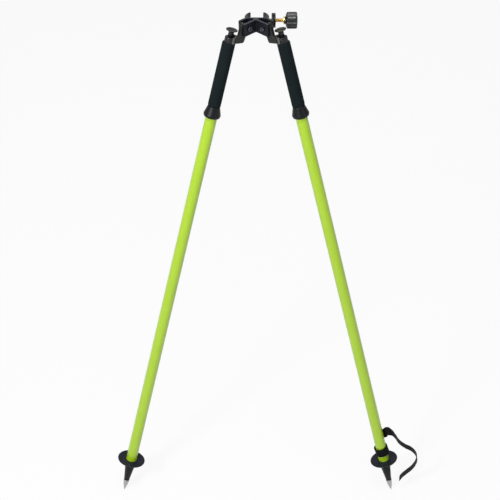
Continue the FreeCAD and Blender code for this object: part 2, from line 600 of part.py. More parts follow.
def strap_tail():
    """The strap's free end: it leaves the loop behind the tube, turns on edge and hangs in an S."""
    def side(offset):
        points = []
        for i, (across, station) in enumerate(TAIL_ROUTE):
            before = TAIL_ROUTE[max(i - 1, 0)]
            after = TAIL_ROUTE[min(i + 1, len(TAIL_ROUTE) - 1)]
            run = FreeCAD.Vector(after[0] - before[0], 0, before[1] - after[1]).normalize()
            points.append(FreeCAD.Vector(across - run.z * offset, 0, -station + run.x * offset))
        curve = Part.BSplineCurve()
        curve.interpolate(points)
        return curve.toShape(), points[0], points[-1]

    half = STRAP_THICKNESS / 2
    upper, upper_start, upper_end = side(half)
    lower, lower_start, lower_end = side(-half)
    outline = Part.Wire(Part.__sortEdges__([upper, lower, Part.makeLine(upper_start, lower_start),
                                            Part.makeLine(upper_end, lower_end)]))
    lean = math.radians(TAIL_LEAN)
    across_band = FreeCAD.Vector(0, math.cos(lean), -math.sin(lean)) * STRAP_WIDTH
    ribbon = Part.Face(outline)
    ribbon.translate(across_band * -0.5)
    ribbon = ribbon.extrude(across_band)

    # Centre of the band, the way its width points, and the way that it runs, from loop to tail
    start = TAIL_ROUTE[0]
    turns = [((0.0, LOOP_OUTER_RADIUS + half, 1078.0), 0.0), ((1.5, 18.4, 1057.0), 12.0),
             ((7.5, 15.8, 1042.0), 42.0), ((12.4, 8.6, 1034.0), 70.0), ((start[0], 0.0, start[1]), 90.0)]
    sections = []
    for (across, back, station), turn in turns:
        angle = math.radians(turn)
        width = FreeCAD.Vector(math.cos(angle), -math.sin(angle), 0) * (STRAP_WIDTH / 2)
        depth = FreeCAD.Vector(math.sin(angle), math.cos(angle), 0) * half
        centre = FreeCAD.Vector(across, back, -station)
        corners = [centre - width - depth, centre + width - depth, centre + width + depth,
                   centre - width + depth]
        sections.append(Part.makePolygon(corners + corners[:1]))
    root = Part.makeLoft(sections, True, True)
    return ribbon, root


def on_leg_axis(shape):
    """Moves a piece drawn on its own axis to the folded right leg."""
    placed = shape.copy()
    placed.translate(FreeCAD.Vector(LEG_AXIS_X, LEG_AXIS_Y, LEG_ZERO_Z))
    return placed


def swung_open(shape):
    opened = shape.copy()
    opened.rotate(hinge_point, hinge_axis, LEG_OPEN_ANGLE)
    return opened


def leg_pieces():
    """The right leg's pieces at their open place. The left leg's are their mirror images."""
    drawn_in_place = {
        "arm": arm(),
        "arm_stud": arm_stud(),
        "saddle": saddle(),
        "hinge_washers": hinge_washers(),
        "top_cap": top_cap()}
    drawn_on_axis = {
        "thumb_button": thumb_button(),
        "control_rod": leg_column(CONTROL_ROD_RADIUS, BUTTON_STEM_END_S, CONE_START_S),
        "return_spring": leg_tube(SPRING_OUTER_RADIUS, SPRING_INNER_RADIUS,
                                  BUTTON_STEM_END_S + BUTTON_TRAVEL + 0.3, CAP_BORE_END_S),
        "inner_rod": leg_tube(ROD_RADIUS, rod_bore_radius, CAP_SHOULDER_S, ROD_END_S),
        "foam_grip": foam_grip(),
        "lock_sleeve": lock_sleeve(),
        "lock_cone": turned([(0, CONE_START_S), (CONE_TOP_RADIUS - 0.6, CONE_START_S),
                             (CONE_BOTTOM_RADIUS - 0.9, CONE_END_S), (0, CONE_END_S)]),
        "bell_collar": bell_collar(),
        "guide_bush": guide_bush(),
        "outer_tube": leg_tube(TUBE_RADIUS, tube_bore_radius, TUBE_TOP_S, DISC_S),
        "foot": foot(),
        "step_disc": step_disc(),
        "steel_point": steel_point()}
    pieces = {name: swung_open(shape) for name, shape in drawn_in_place.items()}
    for name, shape in drawn_on_axis.items():
        pieces[name] = swung_open(on_leg_axis(shape))
    return pieces


def all_pieces():
    pieces = {
        "head_casting": head_casting(),
        "fixed_jaw_pad": mirrored(jaw_pad(0.0)),
        "movable_jaw": movable_jaw(),
        "movable_jaw_pad": jaw_pad(JAW_OPENING),
        "jaw_pin": jaw_pin(),
        "thread_bush": thread_bush(),
        "clamp_screw": clamp_screw(),
        "clamp_knob": clamp_knob(),
        "right_hinge_bolt": hinge_bolt(),
        "left_hinge_bolt": mirrored(hinge_bolt())}
    for name, shape in leg_pieces().items():
        pieces["right_" + name] = shape
        pieces["left_" + name] = mirrored(shape)
    tail, root = strap_tail()
    pieces["strap_loop"] = swung_open(on_leg_axis(strap_loop()))
    pieces["strap_tail"] = swung_open(on_leg_axis(solid_of(tail.fuse(root))))
    return pieces


os.makedirs("parts", exist_ok=True)
for node, shape in all_pieces().items():
    if not shape.isValid():
        print("not valid:", node)
    if len(shape.Solids) != 1:
        print("solids in", node, len(shape.Solids))
    shape.exportStep("parts/" + node + ".step")
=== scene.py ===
import json
import math

import bmesh
import bpy
from mathutils import Matrix, Vector


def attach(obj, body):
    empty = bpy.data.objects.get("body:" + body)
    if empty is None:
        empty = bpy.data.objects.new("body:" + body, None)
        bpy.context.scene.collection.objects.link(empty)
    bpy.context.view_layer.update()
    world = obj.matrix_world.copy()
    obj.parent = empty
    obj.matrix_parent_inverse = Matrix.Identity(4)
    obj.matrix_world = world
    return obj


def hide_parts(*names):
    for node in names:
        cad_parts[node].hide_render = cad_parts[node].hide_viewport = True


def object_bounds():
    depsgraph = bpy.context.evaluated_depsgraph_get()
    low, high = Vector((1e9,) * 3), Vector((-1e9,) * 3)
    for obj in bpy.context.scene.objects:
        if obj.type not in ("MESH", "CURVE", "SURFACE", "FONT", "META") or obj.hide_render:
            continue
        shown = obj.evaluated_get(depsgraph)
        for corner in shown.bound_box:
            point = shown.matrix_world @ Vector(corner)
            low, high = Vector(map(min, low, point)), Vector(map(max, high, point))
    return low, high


# A bipod that holds a survey prism pole upright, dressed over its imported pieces.
# Turned pieces and webbing are drawn in millimetres down an upright axis, and set down in metres.

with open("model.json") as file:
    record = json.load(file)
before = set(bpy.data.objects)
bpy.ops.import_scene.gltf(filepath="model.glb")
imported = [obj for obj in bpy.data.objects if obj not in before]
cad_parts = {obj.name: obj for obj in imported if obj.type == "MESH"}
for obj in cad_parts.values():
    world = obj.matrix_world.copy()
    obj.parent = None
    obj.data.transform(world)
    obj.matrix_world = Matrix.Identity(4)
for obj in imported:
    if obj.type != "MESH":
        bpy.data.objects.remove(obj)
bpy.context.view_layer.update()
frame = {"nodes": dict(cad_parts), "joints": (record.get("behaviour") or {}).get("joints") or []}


# Head casting
# One aluminium casting: the V front, the clevis walls, the fixed jaw and the ear for the screw.
# It is sand cast, painted near black, and bare metal shows faintly along the handled edges.

scene = bpy.context.scene
in_millimetres = Matrix.Scale(0.001, 4)


def node_group(name, inputs, outputs):
    """An empty shader group with named sockets. Each input is (name, type, default)."""
    group = bpy.data.node_groups.new(name, "ShaderNodeTree")
    for label, kind, default in inputs:
        socket = group.interface.new_socket(label, in_out="INPUT", socket_type=kind)
        if default is not None:
            socket.default_value = default
    for label, kind in outputs:
        group.interface.new_socket(label, in_out="OUTPUT", socket_type=kind)
    return group, group.nodes.new("NodeGroupInput"), group.nodes.new("NodeGroupOutput")


def add_node(tree, kind, inputs=None, **settings):
    """Adds a node, sets its properties, and sets or links its inputs."""
    node = tree.nodes.new(kind)
    for key, value in settings.items():
        setattr(node, key, value)
    for key, value in (inputs or {}).items():
        if isinstance(value, bpy.types.NodeSocket):
            tree.links.new(value, node.inputs[key])
        else:
            node.inputs[key].default_value = value
    return node


def math_node(tree, operation, a, b=0.0, clamp=False):
    return add_node(tree, "ShaderNodeMath", {0: a, 1: b}, operation=operation, use_clamp=clamp).outputs[0]


def between(tree, factor, low, high):
    """A number that runs from low to high with the factor."""
    node = add_node(tree, "ShaderNodeMapRange", {"Value": factor, "To Min": low, "To Max": high})
    return node.outputs["Result"]


def mix_colours(tree, factor, a, b, blend="MIX"):
    node = add_node(tree, "ShaderNodeMix", data_type="RGBA", blend_type=blend)
    for index, value in ((0, factor), (6, a), (7, b)):
        if isinstance(value, bpy.types.NodeSocket):
            tree.links.new(value, node.inputs[index])
        else:
            node.inputs[index].default_value = value
    return node.outputs[2]


def worn_edges_group():
    """Masks the sharp edges of a piece, broken up so that the wear is patchy."""
    group, given, out = node_group(
        "worn edges",
        [("Width", "NodeSocketFloat", 0.0008), ("Amount", "NodeSocketFloat", 0.5),
         ("Patch Size", "NodeSocketFloat", 0.004)],
        [("Mask", "NodeSocketFloat")])
    rounded = add_node(group, "ShaderNodeBevel", {"Radius": given.outputs["Width"]}, samples=6)
    flat = add_node(group, "ShaderNodeNewGeometry")
    facing = add_node(group, "ShaderNodeVectorMath",
                      {0: rounded.outputs["Normal"], 1: flat.outputs["Normal"]}, operation="DOT_PRODUCT")
    steepness = 6.0
    bend = math_node(group, "SUBTRACT", 1.0, facing.outputs["Value"])
    edge = math_node(group, "MULTIPLY", bend, steepness, clamp=True)
    where = add_node(group, "ShaderNodeTexCoord")
    patches = add_node(group, "ShaderNodeTexNoise",
                       {"Vector": where.outputs["Object"],
                        "Scale": math_node(group, "DIVIDE", 1.0, given.outputs["Patch Size"]),
                        "Detail": 4.0})
    patchy = add_node(group, "ShaderNodeMapRange",
                      {"Value": patches.outputs["Fac"], "From Min": 0.42, "From Max": 0.62})
    mask = math_node(group, "MULTIPLY", edge, patchy.outputs["Result"])
    mask = math_node(group, "MULTIPLY", mask, given.outputs["Amount"], clamp=True)
    group.links.new(mask, out.inputs["Mask"])
    return group


def grained_skin_group():
    """The fine bumps of a cast or moulded skin, and the slow unevenness of its colour and gloss."""
    group, given, out = node_group(
        "grained skin",
        [("Grain Size", "NodeSocketFloat", 0.0006), ("Patch Size", "NodeSocketFloat", 0.02)],
        [("Height", "NodeSocketFloat"), ("Patches", "NodeSocketFloat")])
    where = add_node(group, "ShaderNodeTexCoord")
    grain = add_node(group, "ShaderNodeTexNoise",
                     {"Vector": where.outputs["Object"],
                      "Scale": math_node(group, "DIVIDE", 1.0, given.outputs["Grain Size"]),
                      "Detail": 3.0, "Roughness": 0.6})
    patches = add_node(group, "ShaderNodeTexNoise",
                       {"Vector": where.outputs["Object"],
                        "Scale": math_node(group, "DIVIDE", 1.0, given.outputs["Patch Size"]),
                        "Detail": 5.0, "Roughness": 0.65})
    group.links.new(grain.outputs["Fac"], out.inputs["Height"])
    group.links.new(patches.outputs["Fac"], out.inputs["Patches"])
    return group


worn_edges = worn_edges_group()
grained_skin = grained_skin_group()


def new_material(name, colour, roughness, metallic=0.0, shine=0.5):
    """A plain finish. The shine is the strength of its surface reflection."""
    material = bpy.data.materials.new(name)
    material.use_nodes = True
    tree = material.node_tree
    shader = tree.nodes["Principled BSDF"]
    shader.inputs["Base Color"].default_value = (*colour, 1.0)
    shader.inputs["Roughness"].default_value = roughness
    shader.inputs["Metallic"].default_value = metallic
    shader.inputs["Specular IOR Level"].default_value = shine
    return material, tree, shader


def toned(tree, shader, factor, colour, other_colour):
    """Lets the colour run between two with the factor."""
    colours = mix_colours(tree, factor, (*colour, 1.0), (*other_colour, 1.0))
    tree.links.new(colours, shader.inputs["Base Color"])
    return colours


def glossed(tree, shader, factor, low, high):
    """Lets the roughness run from low to high with the factor."""
    tree.links.new(between(tree, factor, low, high), shader.inputs["Roughness"])


def skin_of(tree, grain, patch):
    """The grained skin, placed in a material with its own sizes."""
    return add_node(tree, "ShaderNodeGroup", {"Grain Size": grain, "Patch Size": patch},
                    node_tree=grained_skin)


def raised(tree, shader, height, strength, distance):
    """Turns a height that changes over the surface into relief."""
    relief = add_node(tree, "ShaderNodeBump",
                      {"Height": height, "Strength": strength, "Distance": distance})
    tree.links.new(relief.outputs["Normal"], shader.inputs["Normal"])


def skinned(name, colour, patch_colour, roughness, grain, bump, metallic=0.0, patch=0.02, spread=0.12,
            shine=0.5):
    """A grained finish whose colour and gloss drift a little over the surface."""
    material, tree, shader = new_material(name, colour, roughness, metallic, shine)
    skin = skin_of(tree, grain, patch)
    colours = toned(tree, shader, skin.outputs["Patches"], colour, patch_colour)
    glossed(tree, shader, skin.outputs["Patches"], roughness - spread, roughness + spread)
    raised(tree, shader, skin.outputs["Height"], bump, grain * 0.6)
    return material, tree, shader, colours


def with_wear(finish, bare_colour, width, amount):
    """Adds bare, brighter stretches along the edges to a grained finish."""
    material, tree, shader, colours = finish
    wear = add_node(tree, "ShaderNodeGroup", {"Width": width, "Amount": amount}, node_tree=worn_edges)
    worn = mix_colours(tree, wear.outputs["Mask"], colours, (*bare_colour, 1.0))
    tree.links.new(worn, shader.inputs["Base Color"])
    return material


def cast_copy(name, node, voxel=0.0005, softening=6):
    """A copy of a cast node with its doubles merged and every edge softened as a mould leaves it."""
    mesh = frame["nodes"][node].data.copy()
    mesh.materials.clear()
    merged = bmesh.new()
    merged.from_mesh(mesh)
    bmesh.ops.remove_doubles(merged, verts=merged.verts, dist=1e-6)
    merged.to_mesh(mesh)
    merged.free()
    rough = bpy.data.objects.new(name + "_pattern", mesh)
    scene.collection.objects.link(rough)
    remesh = rough.modifiers.new("even skin", "REMESH")
    remesh.mode = "VOXEL"
    remesh.voxel_size = voxel
    smooth = rough.modifiers.new("soft edges", "SMOOTH")
    smooth.factor = 0.5
    smooth.iterations = softening
    return converted(rough, name)


def converted(source, name):
    """The evaluated mesh of an object as a plain mesh. The object itself is removed."""
    depsgraph = bpy.context.evaluated_depsgraph_get()
    mesh = bpy.data.meshes.new_from_object(source.evaluated_get(depsgraph), depsgraph=depsgraph)
    mesh.name = name
    bpy.data.objects.remove(source)
    mesh.polygons.foreach_set("use_smooth", [True] * len(mesh.polygons))
    return mesh


def add_piece(name, mesh, body, material, stands_for=()):
    """Puts a finished mesh in the scene as a piece of the object."""
    piece = bpy.data.objects.new(name, mesh)
    scene.collection.objects.link(piece)
    if material is not None:
        mesh.materials.clear()
        mesh.materials.append(material)
    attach(piece, body)
    if stands_for:
        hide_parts(*stands_for)
    return piece


black_casting = with_wear(
    skinned("black cast paint", (0.0035, 0.004, 0.008), (0.008, 0.009, 0.015), 0.36, 0.0007, 0.35,
            shine=0.26),
    (0.10, 0.10, 0.11), 0.0007, 0.5)
add_piece("head_casting_body", cast_copy("head_casting_body", "head_casting"), "head",
          black_casting, ["head_casting"])


# Jaw linings
# Ribbed plastic liners, one pressed into each hooked jaw, that grip the pole without marking it.
# They are the only surfaces that touch the pole, and their ribs run along it.

pole_radius = 16.0
lining_outer_radius = 17.2
lining_low, lining_high = -8.0, 11.0
lining_sweep = (-68.0, 46.0)
jaw_opening = 3.0


def ring_reach(radius, angle, corners):
    """How far a ring stands off the axis at an angle: round, or flat-sided with that many corners."""
    if not corners:
        return radius
    side = 2 * math.pi / corners
    return radius * math.cos(side / 2) / math.cos(angle % side - side / 2)


def turned(name, profile, steps=96, sweep=(0.0, 360.0)):
    """A mesh turned about Z from points of radius, distance down the axis and, on flats, corners."""
    start, end = (math.radians(angle) for angle in sweep)
    whole = end - start > 2 * math.pi - 1e-6
    body = bmesh.new()
    rings = []
    for radius, along, *corners in profile:
        ring = []
        for step in range(steps + (not whole) if radius > 0 else 1):
            angle = start + (end - start) * step / steps
            reach = ring_reach(radius, angle, *corners or [0])
            ring.append(body.verts.new((reach * math.cos(angle), reach * math.sin(angle), -along)))
        rings.append(ring)
    closing = rings[:1] if profile[0][0] > 0 else []
    for ring, following in zip(rings, rings[1:] + closing):
        for step in range(steps):
            corners = [ring[step % len(ring)], ring[(step + 1) % len(ring)],
                       following[(step + 1) % len(following)], following[step % len(following)]]
            body.faces.new(list(dict.fromkeys(corners)))
    if not whole:
        for end_of_rings in (0, -1):
            body.faces.new([ring[end_of_rings] for ring in rings])
    bmesh.ops.recalc_face_normals(body, faces=body.faces)
    mesh = bpy.data.meshes.new(name)
    body.to_mesh(mesh)
    body.free()
    mesh.polygons.foreach_set("use_smooth", [True] * len(mesh.polygons))
    return mesh


def set_down(mesh, place):
    """Moves a mesh drawn in millimetres to its place, and keeps on it where each point was drawn."""
    mesh.transform(in_millimetres)
    drawn = mesh.attributes.new("drawn_at", "FLOAT_VECTOR", "POINT")
    points = [0.0] * (3 * len(mesh.vertices))
    mesh.vertices.foreach_get("co", points)
    drawn.data.foreach_set("vector", points)
    mesh.transform(place)
    return mesh


def geometry_tree(name, sizes):
    """A geometry node tree with named sizes, and a last stage that makes it one plain mesh."""
    tree = bpy.data.node_groups.new(name, "GeometryNodeTree")
    tree.interface.new_socket("Geometry", in_out="INPUT", socket_type="NodeSocketGeometry")
    for label, value in sizes:
        socket = tree.interface.new_socket(label, in_out="INPUT", socket_type="NodeSocketFloat")
        socket.default_value = value
    tree.interface.new_socket("Finish", in_out="INPUT", socket_type="NodeSocketMaterial")
    tree.interface.new_socket("Geometry", in_out="OUTPUT", socket_type="NodeSocketGeometry")
    given = tree.nodes.new("NodeGroupInput")
    realised = tree.nodes.new("GeometryNodeRealizeInstances")
    painted = add_node(tree, "GeometryNodeSetMaterial",
                       {"Geometry": realised.outputs[0], "Material": given.outputs["Finish"]})
    tree.links.new(painted.outputs[0], tree.nodes.new("NodeGroupOutput").inputs[0])
    return tree, given.outputs, realised.inputs[0]


def made_by(tree, values, finish, start):
    """The plain mesh that a geometry tree makes out of a starting mesh or curve."""
    blank = bpy.data.objects.new(start.name + "_blank", start)
    scene.collection.objects.link(blank)
    maker = blank.modifiers.new("maker", "NODES")
    maker.node_group = tree
    chosen = dict(values, Finish=finish)
    for socket in tree.interface.items_tree:
        if socket.in_out == "INPUT" and socket.name in chosen:
            maker[socket.identifier] = chosen[socket.name]
    return converted(blank, start.name)


def axis_parts(tree):
    """Each point's distance from the axis, its turn round it in radians, and the point itself."""
    point = tree.nodes.new("GeometryNodeInputPosition").outputs[0]
    parts = add_node(tree, "ShaderNodeSeparateXYZ", {0: point}).outputs
    flat = add_node(tree, "ShaderNodeCombineXYZ", {0: parts["X"], 1: parts["Y"]})
    radius = add_node(tree, "ShaderNodeVectorMath", {0: flat.outputs[0]}, operation="LENGTH").outputs["Value"]
    turn = math_node(tree, "ARCTAN2", parts["Y"], parts["X"])
    return radius, turn, parts


def reshaped(tree, geometry, radius, new_radius, parts):
    """Moves every point in or out to its new distance from the axis."""
    share = math_node(tree, "DIVIDE", new_radius, math_node(tree, "MAXIMUM", radius, 0.001))
    place = add_node(tree, "ShaderNodeCombineXYZ",
                     {0: math_node(tree, "MULTIPLY", parts["X"], share),
                      1: math_node(tree, "MULTIPLY", parts["Y"], share), 2: parts["Z"]})
    moved = add_node(tree, "GeometryNodeSetPosition", {"Geometry": geometry, "Position": place.outputs[0]})
    return moved.outputs[0]


def ribbed_tree():
    """Raises rounded ribs on the inside of a turned piece."""
    tree, given, last = geometry_tree("ribs", [("Ribs In A Turn", 60.0), ("Rib Height", 0.4),
                                               ("Inside Radius", 16.0)])
    radius, turn, parts = axis_parts(tree)
    wave = math_node(tree, "COSINE", math_node(tree, "MULTIPLY", turn, given["Ribs In A Turn"]))
    dip = math_node(tree, "MULTIPLY", math_node(tree, "SUBTRACT", 1.0, wave), given["Rib Height"])
    dip = math_node(tree, "MULTIPLY", dip, 0.5)
    inside = math_node(tree, "LESS_THAN", radius, math_node(tree, "ADD", given["Inside Radius"], 0.1))
    deeper = math_node(tree, "ADD", radius, math_node(tree, "MULTIPLY", dip, inside))
    tree.links.new(reshaped(tree, given["Geometry"], radius, deeper, parts), last)
    return tree


ribs = ribbed_tree()
lining_plastic = skinned("jaw lining plastic", (0.020, 0.020, 0.023), (0.032, 0.032, 0.036), 0.5,
                         0.0004, 0.3)[0]
chamfer = 0.5
inner, outer = pole_radius, lining_outer_radius
lining_profile = [(inner, -lining_low - chamfer), (inner, -lining_high + chamfer),
                  (inner + chamfer / 2, -lining_high), (outer - chamfer / 2, -lining_high),
                  (outer, -lining_high + chamfer), (outer, -lining_low - chamfer),
                  (outer - chamfer / 2, -lining_low), (inner + chamfer / 2, -lining_low)]
low_angle, high_angle = lining_sweep
opposite_sweep = (180.0 - high_angle, 180.0 - low_angle)
for jaw, body, sweep, shift in (("fixed_jaw", "head", opposite_sweep, 0.0),
                                ("movable_jaw", "movable_jaw", lining_sweep, jaw_opening)):
    blank = turned(jaw + "_lining", lining_profile, 480, sweep)
    shaped = made_by(ribs, {}, lining_plastic, blank)
    add_piece(jaw + "_lining", set_down(shaped, Matrix.Translation((shift * 0.001, 0, 0))), body,
              None, [jaw + "_pad"])


# Thread bush
# A turned brass bush with a flange, pressed into the casting's ear.
# The clamp screw's thread turns in it.

def eased(piece, width, segments=3, angle=28.0):
    """Rounds a piece's sharp edges. The width is in millimetres."""
    bevel = piece.modifiers.new("eased edges", "BEVEL")
    bevel.width = width * 0.001
    bevel.segments = segments
    bevel.limit_method = "ANGLE"
    bevel.angle_limit = math.radians(angle)
    bevel.harden_normals = True
    return piece


def machined(name, colour, dark_colour, roughness, spacing):
    """Turned metal: fine tool rings round its axis, with duller patches where hands have been."""
    material, tree, shader = new_material(name, colour, roughness, 1.0)
    drawn = add_node(tree, "ShaderNodeAttribute", attribute_name="drawn_at")
    along = add_node(tree, "ShaderNodeSeparateXYZ", {0: drawn.outputs["Vector"]})
    rings = add_node(tree, "ShaderNodeTexNoise",
                     {"W": along.outputs["Z"], "Scale": 1.0 / spacing, "Detail": 3.0},
                     noise_dimensions="1D")
    skin = skin_of(tree, 0.0005, 0.006)
    toned(tree, shader, skin.outputs["Patches"], colour, dark_colour)
    glossed(tree, shader, rings.outputs["Fac"], roughness - 0.08, roughness + 0.12)
    raised(tree, shader, rings.outputs["Fac"], 0.25, spacing * 0.4)
    return material


brass = machined("turned brass", (0.86, 0.70, 0.33), (0.70, 0.52, 0.20), 0.28, 0.0003)
toward_knob = Matrix.Rotation(math.radians(-90), 4, "Y")
screw_radius = 4.0
ear_start, ear_end = 31.6, 39.8
bush_bore, bush_radius, bush_flange_radius, bush_flange = screw_radius + 0.05, 6.0, 6.8, 0.5
bush_profile = [(bush_bore, ear_start), (bush_radius, ear_start), (bush_radius, ear_end),
                (bush_flange_radius, ear_end), (bush_flange_radius, ear_end + bush_flange),
                (bush_bore, ear_end + bush_flange)]
bush_turning = set_down(turned("thread_bush_turning", bush_profile), toward_knob)
eased(add_piece("thread_bush_turning", bush_turning, "head", brass, ["thread_bush"]), 0.15)


# Movable jaw
# The second hooked jaw, cast like the head and painted with it.
# Its dovetail foot slides in the head's groove, and a cross pin keeps the clamp screw in its boss.

add_piece("movable_jaw_body", cast_copy("movable_jaw_body", "movable_jaw", voxel=0.0004),
          "movable_jaw", black_casting, ["movable_jaw"])


def finish_nodes(names, material):
    """Gives inner pieces, which keep their plain shape, their own finish."""
    for name in names:
        frame["nodes"][name].material_slots[0].material = material


pin_steel = skinned("drawn steel", (0.50, 0.50, 0.52), (0.36, 0.36, 0.38), 0.3, 0.0003, 0.2,
                    metallic=1.0)[0]
finish_nodes(["jaw_pin"], pin_steel)


# Clamp screw
# A brass screw, turned and thread-cut in one piece with the flange that the knob is moulded against.
# Its plain journal turns in the movable jaw, and one turn moves the jaw by one pitch.

def thread_tree():
    """Cuts a thread into a turned blank between two distances down its axis."""
    tree, given, last = geometry_tree("screw thread", [("Pitch", 1.0), ("Depth", 0.6), ("Start", 0.0),
                                                       ("End", 10.0)])
    radius, turn, parts = axis_parts(tree)
    down = math_node(tree, "MULTIPLY", parts["Z"], -1.0)
    turns = math_node(tree, "SUBTRACT", math_node(tree, "DIVIDE", down, given["Pitch"]),
                      math_node(tree, "DIVIDE", turn, 2 * math.pi))
    across = math_node(tree, "SUBTRACT", math_node(tree, "FRACT", turns), 0.5)
    flank = math_node(tree, "MULTIPLY", math_node(tree, "ABSOLUTE", across), 2.0)
    groove = add_node(tree, "ShaderNodeMapRange", {"Value": flank, "From Min": 0.12, "From Max": 0.85})
    from_start = math_node(tree, "DIVIDE", math_node(tree, "SUBTRACT", down, given["Start"]),
                           given["Pitch"], clamp=True)
    to_end = math_node(tree, "DIVIDE", math_node(tree, "SUBTRACT", given["End"], down),
                       given["Pitch"], clamp=True)
    run_out = math_node(tree, "MULTIPLY", from_start, to_end)
    cut = math_node(tree, "MULTIPLY", groove.outputs["Result"], run_out)
    lower = math_node(tree, "SUBTRACT", radius, math_node(tree, "MULTIPLY", cut, given["Depth"]))
    tree.links.new(reshaped(tree, given["Geometry"], radius, lower, parts), last)
    return tree


journal_start, journal_end, journal_radius = 21.3, 26.5, 3.0
pin_x, pin_groove_half, pin_groove_radius = 23.6, 1.0, 2.0
flange_start, flange_end, flange_radius = 55.6, 58.0, 8.3
screw_end = 78.0
thread_pitch, thread_depth = 1.0, 0.6
rings_in_pitch = 8
threaded = [(screw_radius, journal_end + 0.5 + step * thread_pitch / rings_in_pitch)
            for step in range(int((flange_start - journal_end - 0.5) * rings_in_pitch))]
screw_profile = [(0, journal_start), (journal_radius - 0.5, journal_start),
                 (journal_radius, journal_start + 0.5), (journal_radius, pin_x - pin_groove_half),
                 (pin_groove_radius, pin_x - pin_groove_half), (pin_groove_radius, pin_x + pin_groove_half),
                 (journal_radius, pin_x + pin_groove_half), (journal_radius, journal_end),
                 (screw_radius - 0.5, journal_end), *threaded, (screw_radius, flange_start),
                 (flange_radius - 0.5, flange_start), (flange_radius - 0.1, flange_start + 0.2),
                 (flange_radius, flange_start + 0.6), (flange_radius, flange_end - 0.3),
                 (flange_radius - 0.3, flange_end), (screw_radius, flange_end), (screw_radius, screw_end),
                 (0, screw_end)]
screw = made_by(thread_tree(), {"Pitch": thread_pitch, "Depth": thread_depth,
                                "Start": journal_end + 0.5, "End": flange_start - 0.5},
                brass, turned("clamp_screw_threaded", screw_profile, 72))
clamp_screw = add_piece("clamp_screw_threaded", set_down(screw, toward_knob), "clamp_knob",
                        None, ["clamp_screw"])


def split_at_corners(piece, angle=35.0):
    """Keeps a piece's sharp corners crisp while the rest shades smoothly."""
    split = piece.modifiers.new("crisp corners", "EDGE_SPLIT")
    split.split_angle = math.radians(angle)
    return piece


split_at_corners(clamp_screw)


# Clamp knob
# A hand knob of black phenolic moulded on the screw's end, with eight shallow finger flutes.
# The moulding is satin, and a short neck stands it off the brass flange.

def fluted_tree():
    """Scoops equal round flutes out of a turned piece's side."""
    tree, given, last = geometry_tree("flutes", [("Flutes", 8.0), ("Flute Radius", 7.0),
                                                 ("Flute Centre", 22.7), ("Edge Softness", 0.5)])
    radius, turn, parts = axis_parts(tree)
    sector = math_node(tree, "DIVIDE", 2 * math.pi, given["Flutes"])
    sectors = math_node(tree, "DIVIDE", turn, sector)
    place = math_node(tree, "SUBTRACT", math_node(tree, "FRACT", sectors), 0.5)
    off = math_node(tree, "MULTIPLY", place, sector)
    beside = math_node(tree, "MULTIPLY", given["Flute Centre"], math_node(tree, "SINE", off))
    ahead = math_node(tree, "MULTIPLY", given["Flute Centre"], math_node(tree, "COSINE", off))
    left_over = math_node(tree, "SUBTRACT", math_node(tree, "POWER", given["Flute Radius"], 2.0),
                          math_node(tree, "MULTIPLY", beside, beside))
    half_chord = math_node(tree, "SQRT", math_node(tree, "MAXIMUM", left_over, 0.0))
    floor_of_flute = math_node(tree, "SUBTRACT", ahead, half_chord)
    kept = add_node(tree, "ShaderNodeMath", {0: radius, 1: floor_of_flute, 2: given["Edge Softness"]},
                    operation="SMOOTH_MIN").outputs[0]
    tree.links.new(reshaped(tree, given["Geometry"], radius, kept, parts), last)
    return tree


def arc(centre_radius, centre_along, reach, first, last, steps=6):
    """Profile points on a round: 0 degrees points outward and 90 degrees down the axis."""
    turns = [math.radians(first + (last - first) * step / steps) for step in range(steps + 1)]
    return [(centre_radius + reach * math.cos(t), centre_along + reach * math.sin(t)) for t in turns]


fluted = fluted_tree()
knob_start, knob_end, knob_radius = 60.6, 85.0, 17.3
knob_neck_radius = 8.0
knob_flutes, knob_flute_radius, knob_flute_depth = 8, 7.0, 1.6
shoulder_length, shoulder_drop = 3.4, 4.2
knob_edge = 3.2
moulded_corner = 50.0
knob_side = [(knob_radius, knob_start + shoulder_length + 0.6 + step) for step in range(17)]
knob_profile = [(0, flange_end), (knob_neck_radius, flange_end), (knob_neck_radius, knob_start - 0.5),
                (knob_neck_radius + 0.5, knob_start), (knob_radius - shoulder_drop - 0.6, knob_start),
                (knob_radius - shoulder_drop, knob_start + 0.2), (knob_radius - 2.2, knob_start + 1.8),
                (knob_radius - 0.8, knob_start + shoulder_length - 0.9), *knob_side,
                *arc(knob_radius - knob_edge, knob_end - knob_edge - 1.1, knob_edge, 0, 72),
                (knob_radius - 6.0, knob_end - 0.8), (knob_radius - 9.0, knob_end - 0.4),
                (4.0, knob_end - 0.05), (0, knob_end)]
phenolic = with_wear(
    skinned("black phenolic", (0.005, 0.0055, 0.006), (0.010, 0.011, 0.011), 0.32, 0.0004, 0.2,
            patch=0.008),
    (0.08, 0.08, 0.08), 0.0008, 0.3)
knob_blank = turned("clamp_knob_moulding", knob_profile, 288)
knob = made_by(fluted, {"Flutes": knob_flutes, "Flute Radius": knob_flute_radius,
                        "Flute Centre": knob_radius + knob_flute_radius - knob_flute_depth},
               phenolic, knob_blank)
clamp_knob = add_piece("clamp_knob_moulding", set_down(knob, toward_knob), "clamp_knob",
                       None, ["clamp_knob"])
split_at_corners(clamp_knob, moulded_corner)


# Hinge bolts
# Socket-head shoulder screws, one for each leg, screwed through the V front into the wall behind it.
# They are turned steel, with a knurled head and a six-sided socket for the key.

sides = {"left": -1, "right": 1}
joints = {joint["name"]: joint for joint in frame["joints"]}


def along_hinge(side):
    """Sets a piece drawn down its own axis on a leg's hinge, from the V front backward."""
    hinge = joints[side + "_leg_hinge"]
    backward = Vector(hinge["axis"])
    backward *= math.copysign(1.0, backward.y)
    turn = Vector((0, 0, -1)).rotation_difference(backward)
    return Matrix.Translation(hinge["pos_m"]) @ turn.to_matrix().to_4x4()


